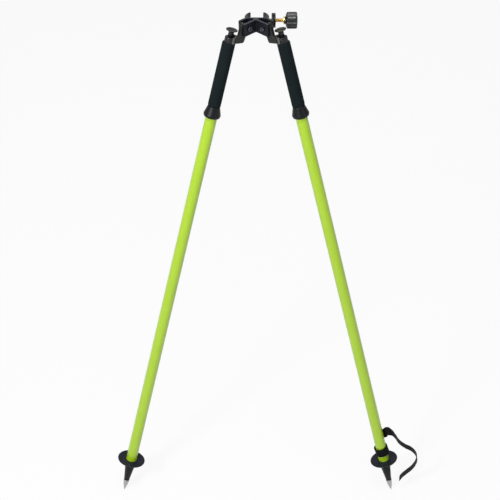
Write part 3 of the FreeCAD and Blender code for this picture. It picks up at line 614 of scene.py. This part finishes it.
bolt_radius, bolt_head_radius, bolt_head_height, bolt_length = 3.0, 5.0, 4.4, 21.5
socket_corner, socket_floor = 5.0 / math.sqrt(3), -1.8
knurls, knurl_radius, knurl_depth = 36, 0.42, 0.22
knurled_side = [(bolt_head_radius, -bolt_head_height + 0.8 + step * 0.4) for step in range(8)]
bolt_profile = [(0, socket_floor + 0.5), (socket_corner * 0.8, socket_floor, 6),
                (socket_corner, socket_floor, 6),
                (socket_corner, -bolt_head_height + 0.3, 6), (socket_corner + 0.3, -bolt_head_height),
                (bolt_head_radius - 0.8, -bolt_head_height),
                (bolt_head_radius - 0.3, -bolt_head_height + 0.2),
                *knurled_side, (bolt_head_radius, -0.4), (bolt_head_radius - 0.3, 0), (bolt_radius, 0),
                (bolt_radius, bolt_length - 0.5), (bolt_radius - 0.5, bolt_length), (0, bolt_length)]
bolt_steel = machined("bolt steel", (0.17, 0.16, 0.20), (0.09, 0.085, 0.11), 0.3, 0.0002)
for side in sides:
    blank = turned(side + "_hinge_bolt_socket_screw", bolt_profile, 288)
    bolt = made_by(fluted, {"Flutes": knurls, "Flute Radius": knurl_radius, "Edge Softness": 0.05,
                            "Flute Centre": bolt_head_radius + knurl_radius - knurl_depth}, bolt_steel, blank)
    piece = add_piece(side + "_hinge_bolt_socket_screw", set_down(bolt, along_hinge(side)), "head",
                      None, [side + "_hinge_bolt"])
    split_at_corners(piece)


# Hinge washers
# Two thin washers of black acetal beside each arm's eye, which give the hinge its even drag.
# They are stamped, so their edges are only just broken.

washer_bore, washer_radius, washer_thickness = 3.05, 7.0, 0.7
eye_start, eye_thickness = 5.75, 10.0


def joined(name, meshes):
    """Several meshes as one."""
    body = bmesh.new()
    for mesh in meshes:
        body.from_mesh(mesh)
        bpy.data.meshes.remove(mesh)
    whole = bpy.data.meshes.new(name)
    body.to_mesh(whole)
    body.free()
    return whole


def washer(start):
    return turned("washer", [(washer_bore, start), (washer_radius, start),
                             (washer_radius, start + washer_thickness),
                             (washer_bore, start + washer_thickness)], 72)


acetal = skinned("black acetal", (0.035, 0.035, 0.037), (0.055, 0.055, 0.058), 0.4, 0.0003, 0.15)[0]
for side in sides:
    pair = joined(side + "_acetal_washers",
                  [washer(eye_start - washer_thickness), washer(eye_start + eye_thickness)])
    piece = add_piece(side + "_acetal_washers", set_down(pair, along_hinge(side)), side + "_leg",
                      acetal, [side + "_hinge_washers"])
    eased(piece, 0.12, 2)


# Arms
# Cast arms that swing between the clevis walls: an eye on the hinge bolt, a broad plate, and a
# block out to the leg. They are painted dark like the head, with a greener and coarser cast skin.

arm_paint = with_wear(
    skinned("arm paint", (0.006, 0.008, 0.007), (0.014, 0.017, 0.015), 0.38, 0.0008, 0.5, patch=0.012,
            shine=0.4), (0.14, 0.15, 0.14), 0.0008, 0.6)
for side in sides:
    name = side + "_arm_casting"
    add_piece(name, cast_copy(name, side + "_arm"), side + "_leg", arm_paint,
              [side + "_arm"])


# Saddles and studs
# A bent plate beds each leg's round cap on its arm, and one stud holds arm, plate and cap together.
# The plates are bare aluminium, blasted and left dull. The studs are hidden inside the joint.

def crisp_copy(name, node):
    """A copy of a thin node with its doubles merged, ready to have its edges eased."""
    mesh = frame["nodes"][node].data.copy()
    mesh.name = name
    body = bmesh.new()
    body.from_mesh(mesh)
    bmesh.ops.remove_doubles(body, verts=body.verts, dist=1e-6)
    body.to_mesh(mesh)
    body.free()
    mesh.polygons.foreach_set("use_smooth", [True] * len(mesh.polygons))
    return mesh


blasted_plate = with_wear(
    skinned("blasted plate", (0.17, 0.185, 0.15), (0.10, 0.11, 0.09), 0.5, 0.0004, 0.4, metallic=0.6,
            patch=0.008), (0.4, 0.42, 0.37), 0.0005, 0.7)
for side in sides:
    plate = crisp_copy(side + "_saddle_plate", side + "_saddle")
    eased(add_piece(side + "_saddle_plate", plate, side + "_leg", blasted_plate,
                    [side + "_saddle"]), 0.4)
    finish_nodes([side + "_arm_stud"], pin_steel)


# Leg caps and thumb buttons
# A moulded cap is plugged into each leg's top, and a dished mushroom button slides in its bore.
# Pressing the button lets the lower leg slide. Under it lie the return spring and the control rod.

leg_axis_x, leg_axis_y, leg_zero_z = 47.6, -37.6, -21.8


def leg_place(side):
    """Sets a piece drawn down the folded leg's axis on the leg as it stands open."""
    hinge = joints[side + "_leg_hinge"]
    pivot = Matrix.Translation(hinge["pos_m"])
    opening = Matrix.Rotation(math.radians(-hinge["range_deg"][0]), 4, Vector(hinge["axis"]))
    top = in_millimetres @ Vector((leg_axis_x * sides[side], leg_axis_y, leg_zero_z))
    return pivot @ opening @ pivot.inverted() @ Matrix.Translation(top)


def turned_on_leg(side, name, profile, steps, body, material, node):
    """A piece turned down a leg's axis, in the place of the node that it stands for."""
    mesh = set_down(turned(side + "_" + name, profile, steps), leg_place(side))
    return add_piece(side + "_" + name, mesh, side + "_" + body, material, [side + "_" + node])


cap_radius, cap_top, cap_shoulder, cap_plug_end = 10.6, -1.0, 11.2, 32.0
cap_bore, cap_bore_end, plug_radius, rod_hole = 5.9, 24.0, 8.325, 2.55
cap_profile = [(cap_bore, cap_top + 0.4), (cap_bore + 0.4, cap_top), (cap_radius - 1.8, cap_top),
               (cap_radius - 0.5, cap_top + 0.6), (cap_radius, cap_top + 1.8), (cap_radius, cap_top + 3.4),
               (cap_radius - 0.35, cap_top + 3.6), (cap_radius - 0.35, cap_top + 4.3),
               (cap_radius, cap_top + 4.5), (cap_radius, cap_shoulder), (plug_radius, cap_shoulder),
               (plug_radius, cap_plug_end), (rod_hole, cap_plug_end), (rod_hole, cap_bore_end),
               (cap_bore, cap_bore_end)]
button_radius, button_top, button_rim = 12.2, -16.8, -15.4
stem_radius, stem_top, stem_end = 5.8, -11.2, 6.0
dish = [(0, button_top + 1.0), (2.0, button_top + 0.98), (4.0, button_top + 0.92), (6.0, button_top + 0.8),
        (8.0, button_top + 0.56), (9.6, button_top + 0.26), (10.6, button_top + 0.05)]
button_profile = [*dish, (button_radius - 1.0, button_top), (button_radius - 0.35, button_top + 0.2),
                  (button_radius, button_top + 0.7), (button_radius - 0.05, button_rim - 0.2),
                  (button_radius - 0.4, button_rim + 0.1), (button_radius * 0.6, stem_top - 2.2),
                  (stem_radius + 0.4, stem_top - 0.9), (stem_radius, stem_top), (stem_radius, stem_end),
                  (0, stem_end)]


def coil_tree():
    """Winds round wire into a spring down the axis."""
    tree, given, last = geometry_tree("coil", [("Coil Radius", 4.5), ("Wire Radius", 0.5), ("Turns", 6.0),
                                               ("Length", 10.0)])
    path = add_node(tree, "GeometryNodeCurveSpiral",
                    {"Resolution": 32, "Rotations": given["Turns"], "Start Radius": given["Coil Radius"],
                     "End Radius": given["Coil Radius"], "Height": given["Length"]})
    wire = add_node(tree, "GeometryNodeCurvePrimitiveCircle",
                    {"Resolution": 12, "Radius": given["Wire Radius"]})
    wound = add_node(tree, "GeometryNodeCurveToMesh",
                     {"Curve": path.outputs[0], "Profile Curve": wire.outputs[0], "Fill Caps": True})
    tree.links.new(wound.outputs[0], last)
    return tree


cap_plastic = skinned("cap plastic", (0.006, 0.005, 0.008), (0.012, 0.010, 0.015), 0.42, 0.0005, 0.35,
                      patch=0.01, shine=0.4)[0]
button_plastic = with_wear(
    skinned("button plastic", (0.006, 0.006, 0.006), (0.014, 0.015, 0.015), 0.36, 0.0004, 0.3, patch=0.006,
            shine=0.4), (0.07, 0.07, 0.07), 0.0006, 0.4)
spring_wire = skinned("spring wire", (0.35, 0.35, 0.37), (0.22, 0.22, 0.24), 0.3, 0.0003, 0.2,
                      metallic=1.0)[0]
rod_metal = skinned("control rod metal", (0.62, 0.62, 0.64), (0.48, 0.48, 0.50), 0.32, 0.0003, 0.2,
                    metallic=1.0)[0]
coil = coil_tree()
spring_start, spring_end, spring_radius, spring_turns = 12.8, 23.5, 4.5, 7.0
for side in sides:
    eased(turned_on_leg(side, "leg_cap", cap_profile, 120, "leg", cap_plastic, "top_cap"),
          0.25)
    turned_on_leg(side, "thumb_button_moulding", button_profile, 120, "button",
                  button_plastic, "thumb_button")
    spring = made_by(coil, {"Coil Radius": spring_radius, "Turns": spring_turns,
                            "Length": spring_end - spring_start},
                     spring_wire, bpy.data.meshes.new(side + "_coiled_spring"))
    spring.transform(Matrix.Translation((0, 0, -spring_end)))
    add_piece(side + "_coiled_spring", set_down(spring, leg_place(side)), side + "_leg",
              None, [side + "_return_spring"])
    finish_nodes([side + "_control_rod"], rod_metal)
    finish_nodes([side + "_lock_sleeve", side + "_lock_cone"], cap_plastic)


# Upper legs and foam grips
# Each upper leg is a drawn aluminium rod, clear anodised, that slides in the lower tube.
# A sleeve of closed-cell foam is stretched over its top as the hand grip.

rod_radius, rod_end = 9.525, 1016.0
foam_radius, foam_end, foam_edge = 13.7, 155.4, 2.5


def drawn_metal(name, colour, dark_colour, roughness):
    """Drawn tube: fine streaks along its length under the anodising."""
    material, tree, shader = new_material(name, colour, roughness, 1.0)
    drawn = add_node(tree, "ShaderNodeAttribute", attribute_name="drawn_at")
    streaks_in_metre, squash = 2500.0, 0.01
    stretched = add_node(tree, "ShaderNodeVectorMath", {0: drawn.outputs["Vector"], 1: (1.0, 1.0, squash)},
                         operation="MULTIPLY")
    streaks = add_node(tree, "ShaderNodeTexNoise",
                       {"Vector": stretched.outputs[0], "Scale": streaks_in_metre, "Detail": 4.0})
    toned(tree, shader, streaks.outputs["Fac"], colour, dark_colour)
    glossed(tree, shader, streaks.outputs["Fac"], roughness - 0.07, roughness + 0.1)
    raised(tree, shader, streaks.outputs["Fac"], 0.15, 0.00005)
    return material


def foam_finish():
    """Closed-cell foam: a skin of tiny cut cells with painted shade in their pits, dull, with scuffed paler
    patches.
    """
    colour, scuffed = (0.0040, 0.0085, 0.0100), (0.0090, 0.0150, 0.0170)
    material, tree, shader = new_material("grip foam", colour, 0.85, shine=0.12)
    where = add_node(tree, "ShaderNodeTexCoord").outputs["Object"]
    cells_in_metre = 1700.0
    cells = add_node(tree, "ShaderNodeTexVoronoi", {"Vector": where, "Scale": cells_in_metre})
    skin = skin_of(tree, 0.0012, 0.03)
    rough = mix_colours(tree, skin.outputs["Patches"], (*colour, 1.0), (*scuffed, 1.0))
    # The middles of the cells, where the pits lie, are painted near black as painted shade.
    pore_shade_mask = add_node(tree, "ShaderNodeMapRange",
                     {"Value": cells.outputs["Distance"], "From Min": 0.1, "From Max": 0.5})
    pits_with_painted_shade = mix_colours(tree, pore_shade_mask.outputs["Result"], (0.002, 0.003, 0.004, 1.0), rough)
    tree.links.new(pits_with_painted_shade, shader.inputs["Base Color"])
    height = math_node(tree, "ADD", cells.outputs["Distance"],
                       math_node(tree, "MULTIPLY", skin.outputs["Height"], 0.6))
    raised(tree, shader, height, 0.7, 0.0003)
    return material


anodised = drawn_metal("clear anodised tube", (0.72, 0.72, 0.74), (0.60, 0.60, 0.62), 0.28)
foam = foam_finish()
foam_side = [(foam_radius, cap_shoulder + foam_edge + step) for step in range(1, 139, 3)]
foam_profile = [(rod_radius, cap_shoulder),
                *arc(foam_radius - foam_edge, cap_shoulder + foam_edge, foam_edge, -90, 0), *foam_side,
                *arc(foam_radius - foam_edge, foam_end - foam_edge, foam_edge, 0, 90), (rod_radius, foam_end)]
rod_bore = 8.325
rod_profile = [(rod_bore, cap_shoulder), (rod_radius, cap_shoulder), (rod_radius, rod_end),
               (rod_bore, rod_end)]
for side in sides:
    turned_on_leg(side, "foam_sleeve", foam_profile, 120, "leg", foam, "foam_grip")
    eased(turned_on_leg(side, "anodised_rod", rod_profile, 96, "leg", anodised,
                        "inner_rod"), 0.3)


# Bell collars and guide bushes
# A moulded bell stands on each lower tube's top, where a hand pushes to stretch the leg.
# The bush inside it, pressed into the tube, is what the upper leg slides in.

collar_top, collar_top_radius = 156.0, 13.2
collar_rim, collar_rim_radius, collar_bottom = 175.0, 18.4, 180.6
collar_cavity, collar_cavity_radius = 166.0, 14.9
tube_radius, tube_bore, bush_top = 12.7, 11.45, 157.4
collar_throat = rod_radius + 0.8
flare = [(collar_top_radius + 0.3 + (collar_rim_radius - 0.5 - collar_top_radius - 0.3) * step / 8,
          collar_top + 2.5 + (collar_rim - 1.6 - collar_top - 2.5) * step / 8) for step in range(9)]
collar_profile = [(collar_throat, collar_top + 0.4), (collar_throat + 0.4, collar_top),
                  (collar_top_radius - 0.6, collar_top), (collar_top_radius, collar_top + 0.6), *flare,
                  (collar_rim_radius - 0.1, collar_rim - 0.6), (collar_rim_radius, collar_rim + 0.2),
                  (collar_rim_radius - 0.2, collar_rim + 2.0), (collar_rim_radius - 1.1, collar_bottom - 0.6),
                  (collar_rim_radius - 1.9, collar_bottom), (collar_cavity_radius + 0.4, collar_bottom),
                  (collar_cavity_radius, collar_bottom - 0.5),
                  (collar_cavity_radius - 1.2, collar_cavity + 4.0),
                  (tube_radius, collar_cavity), (tube_radius, bush_top), (collar_throat, bush_top)]
collar_plastic = skinned("collar plastic", (0.004, 0.004, 0.005), (0.008, 0.009, 0.010), 0.40, 0.0005, 0.25,
                         shine=0.22)[0]
for side in sides:
    split_at_corners(turned_on_leg(side, "bell_moulding", collar_profile, 144, "lower_leg",
                                   collar_plastic, "bell_collar"), moulded_corner)
    finish_nodes([side + "_guide_bush"], cap_plastic)


# Lower tubes
# One-inch aluminium tubes with plain ends, stoved lime green under a clear gloss coat.
# The paint has a faint orange-peel skin and is a little thinner in patches.

def gloss_paint(name, colour, thin_colour):
    """Stoved gloss paint over drawn tube."""
    material, tree, shader = new_material(name, colour, 0.32, shine=0.6)
    skin = skin_of(tree, 0.0022, 0.05)
    toned(tree, shader, skin.outputs["Patches"], colour, thin_colour)
    glossed(tree, shader, skin.outputs["Patches"], 0.26, 0.36)
    raised(tree, shader, skin.outputs["Height"], 0.12, 0.0002)
    shader.inputs["Coat Weight"].default_value = 0.4
    shader.inputs["Coat Roughness"].default_value = 0.2
    return material


lime_paint = gloss_paint("lime green gloss", (0.385, 0.60, 0.008), (0.34, 0.545, 0.007))
tube_top, disc_level = 159.0, 1102.2
tube_profile = [(tube_bore, tube_top), (tube_radius, tube_top), (tube_radius, disc_level),
                (tube_bore, disc_level)]
for side in sides:
    eased(turned_on_leg(side, "painted_tube", tube_profile, 128, "lower_leg", lime_paint,
                        "outer_tube"), 0.3)


# Feet, step discs and points
# A moulded foot is plugged into each tube. A boot presses its disc to drive the leg into the ground.
# The disc is a ring trapped on the foot, and the ogive point is turned steel set in the cone.

foot_cone_end, foot_cone_end_radius, foot_root_radius = 1165.5, 6.3, 13.4
disc_radius, disc_thickness = 32.4, 2.4
spigot_top = 1072.0
point_root_radius, point_shank_radius, point_shank_top = 7.0, 3.5, 1146.0
point_tip, point_tip_radius = 1198.8, 0.8
disc_under = disc_level + disc_thickness
cone_fillet = [(foot_root_radius + 1.4 * (1 - step / 6) ** 2, disc_under + 4.0 * step / 6)
               for step in range(7)]
foot_profile = [(0, spigot_top), (tube_bore - 1.0, spigot_top), (tube_bore, spigot_top + 1.0),
                (tube_bore, disc_under - 0.02), *cone_fillet,
                (foot_cone_end_radius + 0.12, foot_cone_end - 0.5),
                (foot_cone_end_radius - 0.2, foot_cone_end), (point_shank_radius, foot_cone_end),
                (point_shank_radius, point_shank_top), (0, point_shank_top)]
disc_profile = [(tube_bore, disc_level), (tube_radius + 2.2, disc_level),
                (tube_radius + 2.6, disc_level + 0.25),
                (disc_radius - 3.4, disc_level + 0.25), (disc_radius - 3.0, disc_level),
                (disc_radius - 0.8, disc_level), (disc_radius, disc_level + 0.8),
                (disc_radius, disc_under - 0.8), (disc_radius - 0.8, disc_under), (tube_bore, disc_under)]
point_length = point_tip - foot_cone_end
ogive = [(point_root_radius * (1 - (step / 12) ** 1.6), foot_cone_end + point_length * step / 12)
         for step in range(1, 12) if point_root_radius * (1 - (step / 12) ** 1.6) > point_tip_radius]
point_profile = [(0, point_shank_top), (point_shank_radius, point_shank_top),
                 (point_shank_radius, foot_cone_end),
                 (point_root_radius - 0.15, foot_cone_end), (point_root_radius, foot_cone_end + 0.2), *ogive,
                 (point_tip_radius * 0.6, point_tip - 0.4), (0, point_tip)]
foot_plastic = skinned("foot plastic", (0.002, 0.0025, 0.003), (0.005, 0.006, 0.007), 0.48, 0.0006, 0.4,
                       shine=0.18)[0]
disc_plastic = skinned("step disc plastic", (0.004, 0.005, 0.014), (0.010, 0.012, 0.022), 0.46, 0.0007, 0.4,
                       shine=0.3)[0]
point_steel = machined("point steel", (0.50, 0.48, 0.50), (0.40, 0.38, 0.41), 0.36, 0.0004)
for side in sides:
    split_at_corners(turned_on_leg(side, "foot_cone", foot_profile, 96, "lower_leg",
                                   foot_plastic, "foot"), moulded_corner)
    eased(turned_on_leg(side, "step_ring", disc_profile, 160, "lower_leg", disc_plastic,
                        "step_disc"), 0.3)
    split_at_corners(turned_on_leg(side, "ogive_point", point_profile, 96, "lower_leg",
                                   point_steel, "steel_point"), moulded_corner)


# Tie strap
# Black nylon webbing that straps the folded legs together. Two turns are drawn round the tube and
# sewn, a short riser climbs its back, and the free end crosses it, turns on edge and hangs in an S.

strap_width, strap_thickness = 21.0, 1.7
loop_inner, loop_outer, loop_station, loop_tilt = 13.2, 16.7, 1074.5, 6.0
tail_lean = 10.0
riser_route = [(17.7, 1080.0), (18.2, 1068.0), (16.6, 1056.0), (15.4, 1046.0), (15.4, 1035.5)]
tail_start = [(-9.5, 15.6, 1046.5), (0.0, 17.3, 1045.0), (9.0, 15.0, 1041.0), (15.8, 8.6, 1034.0)]
tail_route = [(24.4, 1024.4), (33.4, 1030.4), (39.2, 1042.6), (45.4, 1060.4), (56.7, 1075.6),
              (69.2, 1087.4), (77.0, 1102.4), (77.8, 1115.6), (72.6, 1128.4), (61.0, 1142.0), (45.0, 1153.2),
              (34.2, 1160.6), (26.0, 1169.0)]


def smooth_route(points):
    """Points on a smooth line through the given ones, close enough together for a band to follow."""
    line = bpy.data.curves.new("route", "CURVE")
    line.dimensions = "3D"
    run = line.splines.new("BEZIER")
    run.bezier_points.add(len(points) - 1)
    for bend, point in zip(run.bezier_points, points):
        bend.co = point
        bend.handle_left_type = bend.handle_right_type = "AUTO"
    run.resolution_u = 12
    holder = bpy.data.objects.new("route", line)
    scene.collection.objects.link(holder)
    mesh = converted(holder, "route")
    spots = [vertex.co.copy() for vertex in mesh.vertices]
    bpy.data.meshes.remove(mesh)
    return spots


def band(name, spots, sideways, thickness):
    """Webbing laid along a line of spots, with its width the way given at each, and woven edges."""
    half = [(0.4, 0.96), (0.80, 0.94), (0.88, 1.04), (0.95, 1.0), (0.985, 0.7), (1.0, 0.0)]
    columns = [(-across, rise) for across, rise in reversed(half)] + [(0.0, 1.0)] + half
    section = columns + [(across, -rise) for across, rise in reversed(columns[1:-1])]
    body = bmesh.new()
    weave_map = body.loops.layers.uv.new("weave")
    rings, along = [], [0.0]
    for before, spot in zip(spots, spots[1:]):
        along.append(along[-1] + (spot - before).length)
    for index, (spot, way) in enumerate(zip(spots, sideways)):
        ahead = (spots[min(index + 1, len(spots) - 1)] - spots[max(index - 1, 0)]).normalized()
        way = (way - ahead * way.dot(ahead)).normalized()
        up = ahead.cross(way)
        rings.append([body.verts.new(spot + way * (across * strap_width / 2) + up * (rise * thickness / 2))
                      for across, rise in section])
    count = len(section)
    for index, (ring, following) in enumerate(zip(rings, rings[1:])):
        for step in range(count):
            nearby = (step + 1) % count
            face = body.faces.new([ring[step], ring[nearby], following[nearby], following[step]])
            for loop, (place, row) in zip(face.loops, ((step, index), (nearby, index), (nearby, index + 1),
                                                       (step, index + 1))):
                loop[weave_map].uv = (section[place][0] * strap_width / 2000, along[row] / 1000)
    body.faces.new(rings[0])
    body.faces.new(list(reversed(rings[-1])))
    bmesh.ops.recalc_face_normals(body, faces=body.faces)
    mesh = bpy.data.meshes.new(name)
    body.to_mesh(mesh)
    body.free()
    mesh.polygons.foreach_set("use_smooth", [True] * len(mesh.polygons))
    return mesh, along[-1]


def weave_group():
    """The rise and fall of a ribbed plain weave, by how far across and along the band a point lies, and the
    painted shade in its low places.
    """
    group, given, out = node_group(
        "webbing weave",
        [("Warp Spacing", "NodeSocketFloat", 0.0009), ("Weft Spacing", "NodeSocketFloat", 0.0013)],
        [("Height", "NodeSocketFloat"), ("Gap Shade", "NodeSocketFloat")])
    place = add_node(group, "ShaderNodeUVMap", uv_map="weave")
    parts = add_node(group, "ShaderNodeSeparateXYZ", {0: place.outputs[0]})
    warp = math_node(group, "DIVIDE", parts.outputs["X"], given.outputs["Warp Spacing"])
    weft = math_node(group, "DIVIDE", parts.outputs["Y"], given.outputs["Weft Spacing"])
    thread = math_node(group, "SINE", math_node(group, "MULTIPLY", math_node(group, "FRACT", warp), math.pi))
    row = math_node(group, "FLOOR", warp)
    phase = math_node(group, "MULTIPLY", math_node(group, "ADD", weft, row), math.pi)
    over = math_node(group, "MULTIPLY", math_node(group, "ADD", math_node(group, "SINE", phase), 1.0), 0.5)
    height = math_node(group, "MULTIPLY", thread, between(group, over, 0.35, 1.0))
    group.links.new(height, out.inputs["Height"])
    # The low places between threads get painted shade, the inverse of the height.
    gap_shade = math_node(group, "SUBTRACT", 1.0, height, clamp=True)
    group.links.new(gap_shade, out.inputs["Gap Shade"])
    return group


def webbing_finish():
    """Black nylon webbing with a bluish sheen on its threads, and painted shade in the gaps between them."""
    colour, gap_shade_colour = (0.007, 0.007, 0.010), (0.002, 0.002, 0.003)
    material, tree, shader = new_material("nylon webbing", colour, 0.62, shine=0.1)
    weave = add_node(tree, "ShaderNodeGroup", node_tree=weave_group())
    # The low places between the threads are painted darker, as painted shade.
    toned(tree, shader, weave.outputs["Gap Shade"], colour, gap_shade_colour)
    raised(tree, shader, weave.outputs["Height"], 0.8, 0.0003)
    shader.inputs["Sheen Weight"].default_value = 0.02
    shader.inputs["Sheen Tint"].default_value = (0.5, 0.5, 0.8, 1.0)
    return material


def strap_piece(name, mesh, material, *stands_for):
    """A part of the strap, set down on the right lower leg."""
    return add_piece(name, set_down(mesh, leg_place("right")), "right_lower_leg", material,
                     stands_for)


webbing = webbing_finish()
wound_turns, steps_in_turn = 2, 72
first_radius = loop_inner + strap_thickness / 2
growth = (loop_outer - strap_thickness / 2 - first_radius) / wound_turns
tilt = Matrix.Translation((0, 0, -loop_station)) @ Matrix.Rotation(math.radians(-loop_tilt), 4, "Y")
wound = []
for step in range(wound_turns * steps_in_turn + 1):
    turns = step / steps_in_turn
    angle = 2 * math.pi * turns + math.pi / 2
    radius = first_radius + growth * turns
    wound.append(tilt @ Vector((radius * math.cos(angle), radius * math.sin(angle), 0)))
band_up = tilt.to_3x3() @ Vector((0, 0, 1))
loop_mesh, loop_length = band("strap_loop_webbing", wound, [band_up] * len(wound), strap_thickness)
clear_of_tube = tube_radius + 0.1
for vertex in loop_mesh.vertices:
    off_axis = math.hypot(vertex.co.x, vertex.co.y)
    if off_axis < clear_of_tube:
        vertex.co.x *= clear_of_tube / off_axis
        vertex.co.y *= clear_of_tube / off_axis
loop_piece = strap_piece("strap_loop_webbing", loop_mesh, webbing, "strap_loop")

riser_spots = smooth_route([Vector((0, back, -station)) for back, station in riser_route])
riser_mesh, riser_length = band("strap_riser_webbing", riser_spots, [Vector((1, 0, 0))] * len(riser_spots),
                                strap_thickness)
riser_piece = strap_piece("strap_riser_webbing", riser_mesh, webbing)

lean = math.radians(tail_lean)
on_edge = Vector((0, math.cos(lean), -math.sin(lean)))
upright = Vector((0, 0, 1))
first_twist, twist_step, full_twist = 50, 25, 90
bends = [(Vector((across, back, -station)), upright) for across, back, station in tail_start]
for number, (across, station) in enumerate(tail_route):
    twist = math.radians(min(full_twist, first_twist + twist_step * number))
    bends.append((Vector((across, 0, -station)), upright * math.cos(twist) + on_edge * math.sin(twist)))
tail_spots = smooth_route([spot for spot, way in bends])
tail_ways = []
for index in range(len(tail_spots)):
    place_along = index * (len(bends) - 1) / (len(tail_spots) - 1)
    nearest = min(int(place_along), len(bends) - 2)
    tail_ways.append(bends[nearest][1].lerp(bends[nearest + 1][1], place_along - nearest))
tail_mesh, tail_length = band("strap_tail_webbing", tail_spots, tail_ways, strap_thickness)
tail_piece = strap_piece("strap_tail_webbing", tail_mesh, webbing, "strap_tail")


def stitch_tree():
    """Lays short thread stitches end to end along a line of points."""
    tree, given, last = geometry_tree("stitches", [("Stitch Length", 2.2), ("Thread Radius", 0.28),
                                                   ("Gap", 0.6)])
    path = add_node(tree, "GeometryNodeMeshToCurve", {"Mesh": given["Geometry"]})
    step = math_node(tree, "ADD", given["Stitch Length"], given["Gap"])
    spaced = add_node(tree, "GeometryNodeResampleCurve", {"Curve": path.outputs[0], "Length": step},
                      mode="LENGTH")
    half = math_node(tree, "MULTIPLY", given["Stitch Length"], 0.5)
    thread = add_node(tree, "GeometryNodeMeshUVSphere",
                      {"Segments": 8, "Rings": 6, "Radius": 1.0})
    tangent = tree.nodes.new("GeometryNodeInputTangent")
    turned_along = add_node(tree, "FunctionNodeAlignRotationToVector", {"Vector": tangent.outputs[0]},
                            axis="X")
    thickness = given["Thread Radius"]
    size = add_node(tree, "ShaderNodeCombineXYZ", {0: half, 1: thickness, 2: thickness})
    placed = add_node(tree, "GeometryNodeInstanceOnPoints",
                      {"Points": spaced.outputs[0], "Instance": thread.outputs[0],
                       "Rotation": turned_along.outputs[0], "Scale": size.outputs[0]})
    tree.links.new(placed.outputs[0], last)
    return tree


sewn_half, sewn_middle, sewn_back, sewn_slope = 6.0, 1073.0, 19.0, 0.03
corners = [(-sewn_half, sewn_half), (sewn_half, sewn_half), (sewn_half, -sewn_half), (-sewn_half, -sewn_half)]
seams = bpy.data.meshes.new("strap_stitching")
seams.from_pydata([(x, sewn_back - z * sewn_slope, z - sewn_middle) for x, z in corners],
                  [(0, 1), (1, 2), (2, 3), (3, 0), (0, 2)], [])
sewing_thread = skinned("sewing thread", (0.022, 0.022, 0.026), (0.035, 0.035, 0.040), 0.6, 0.0002, 0.3)[0]
stitching = strap_piece("strap_stitching", made_by(stitch_tree(), {}, sewing_thread, seams), None)


# Floor, lights and camera
# A pale, almost clear floor sheet in a white room under soft lamps, seen from in front and above.
# A leg drawn out past the sheet still shows through it, and shadows fall on it only faintly.

def pale_stage():
    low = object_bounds()[0]
    floor_mesh = bpy.data.meshes.new("studio_floor")
    reach = 30.0
    floor_mesh.from_pydata([(-reach, -reach, low.z), (reach, -reach, low.z), (reach, reach, low.z),
                            (-reach, reach, low.z)], [], [(0, 1, 2, 3)])
    floor = bpy.data.objects.new("studio_floor", floor_mesh)
    scene.collection.objects.link(floor)
    material, tree, shader = new_material("pale floor", (0.76, 0.76, 0.76), 0.9, shine=0.0)
    path = add_node(tree, "ShaderNodeLightPath").outputs
    paleness = 0.9
    mirrored = math_node(tree, "ADD", path["Is Glossy Ray"], path["Is Transmission Ray"], clamp=True)
    glow = add_node(tree, "ShaderNodeEmission", {"Color": (1, 1, 1, 1), "Strength": 1.0})
    lit = add_node(tree, "ShaderNodeMixShader", {0: math_node(tree, "MULTIPLY", mirrored, paleness),
                                                 1: shader.outputs[0], 2: glow.outputs[0]})
    seen = math_node(tree, "MULTIPLY", path["Is Camera Ray"], paleness)
    through = math_node(tree, "ADD", seen, path["Is Shadow Ray"], clamp=True)
    clear = tree.nodes.new("ShaderNodeBsdfTransparent")
    mixed = add_node(tree, "ShaderNodeMixShader", {0: through, 1: lit.outputs[0], 2: clear.outputs[0]})
    tree.links.new(mixed.outputs[0], tree.nodes["Material Output"].inputs["Surface"])
    floor_mesh.materials.append(material)


def soft_lamp(name, place, aim, width, power):
    lamp = bpy.data.lights.new(name, "AREA")
    lamp.shape = "SQUARE"
    lamp.size = width
    lamp.energy = power
    holder = bpy.data.objects.new(name, lamp)
    holder.location = place
    holder.rotation_euler = (Vector(aim) - Vector(place)).to_track_quat("-Z", "Y").to_euler()
    scene.collection.objects.link(holder)


def studio_world():
    world = bpy.data.worlds.new("studio air")
    world.use_nodes = True
    tree = world.node_tree
    ground = tree.nodes["Background"]
    path = add_node(tree, "ShaderNodeLightPath").outputs
    room_level, backdrop_level, mirrored_extra = 0.22, 1.0, 0.05
    mirrored = math_node(tree, "ADD", path["Is Glossy Ray"], path["Is Transmission Ray"])
    level = math_node(tree, "ADD", between(tree, path["Is Camera Ray"], room_level, backdrop_level),
                      math_node(tree, "MULTIPLY", mirrored, mirrored_extra))
    tree.links.new(level, ground.inputs["Strength"])
    ground.inputs["Color"].default_value = (1, 1, 1, 1)
    scene.world = world


pale_stage()
studio_world()
middle_of_legs = (0.0, -0.15, -0.5)
soft_lamp("key lamp", (-1.5, -1.95, 1.4), middle_of_legs, 0.6, 70.0)
soft_lamp("fill lamp", (2.2, -1.6, 0.6), middle_of_legs, 1.2, 8.0)
soft_lamp("top lamp", (0.1, -0.75, 2.2), middle_of_legs, 0.8, 34.0)
soft_lamp("back lamp", (-0.3, 2.2, 1.8), middle_of_legs, 1.0, 16.0)

camera_place = Vector((0.01358, -2.55156, 1.58991))
camera_aim = Vector((-0.01331, -0.28490, -0.37516))
camera_roll = math.radians(-0.497)
camera_lens = 104.43
lens = bpy.data.cameras.new("photo camera")
lens.sensor_width = 36.0
lens.lens = camera_lens
camera = bpy.data.objects.new("photo camera", lens)
scene.collection.objects.link(camera)
camera.rotation_mode = "QUATERNION"
camera.location = camera_place
looking = (camera_aim - camera_place).to_track_quat("-Z", "Y")
camera.rotation_quaternion = looking @ Matrix.Rotation(camera_roll, 3, "Z").to_quaternion()
scene.camera = camera
scene.view_settings.view_transform = "Standard"
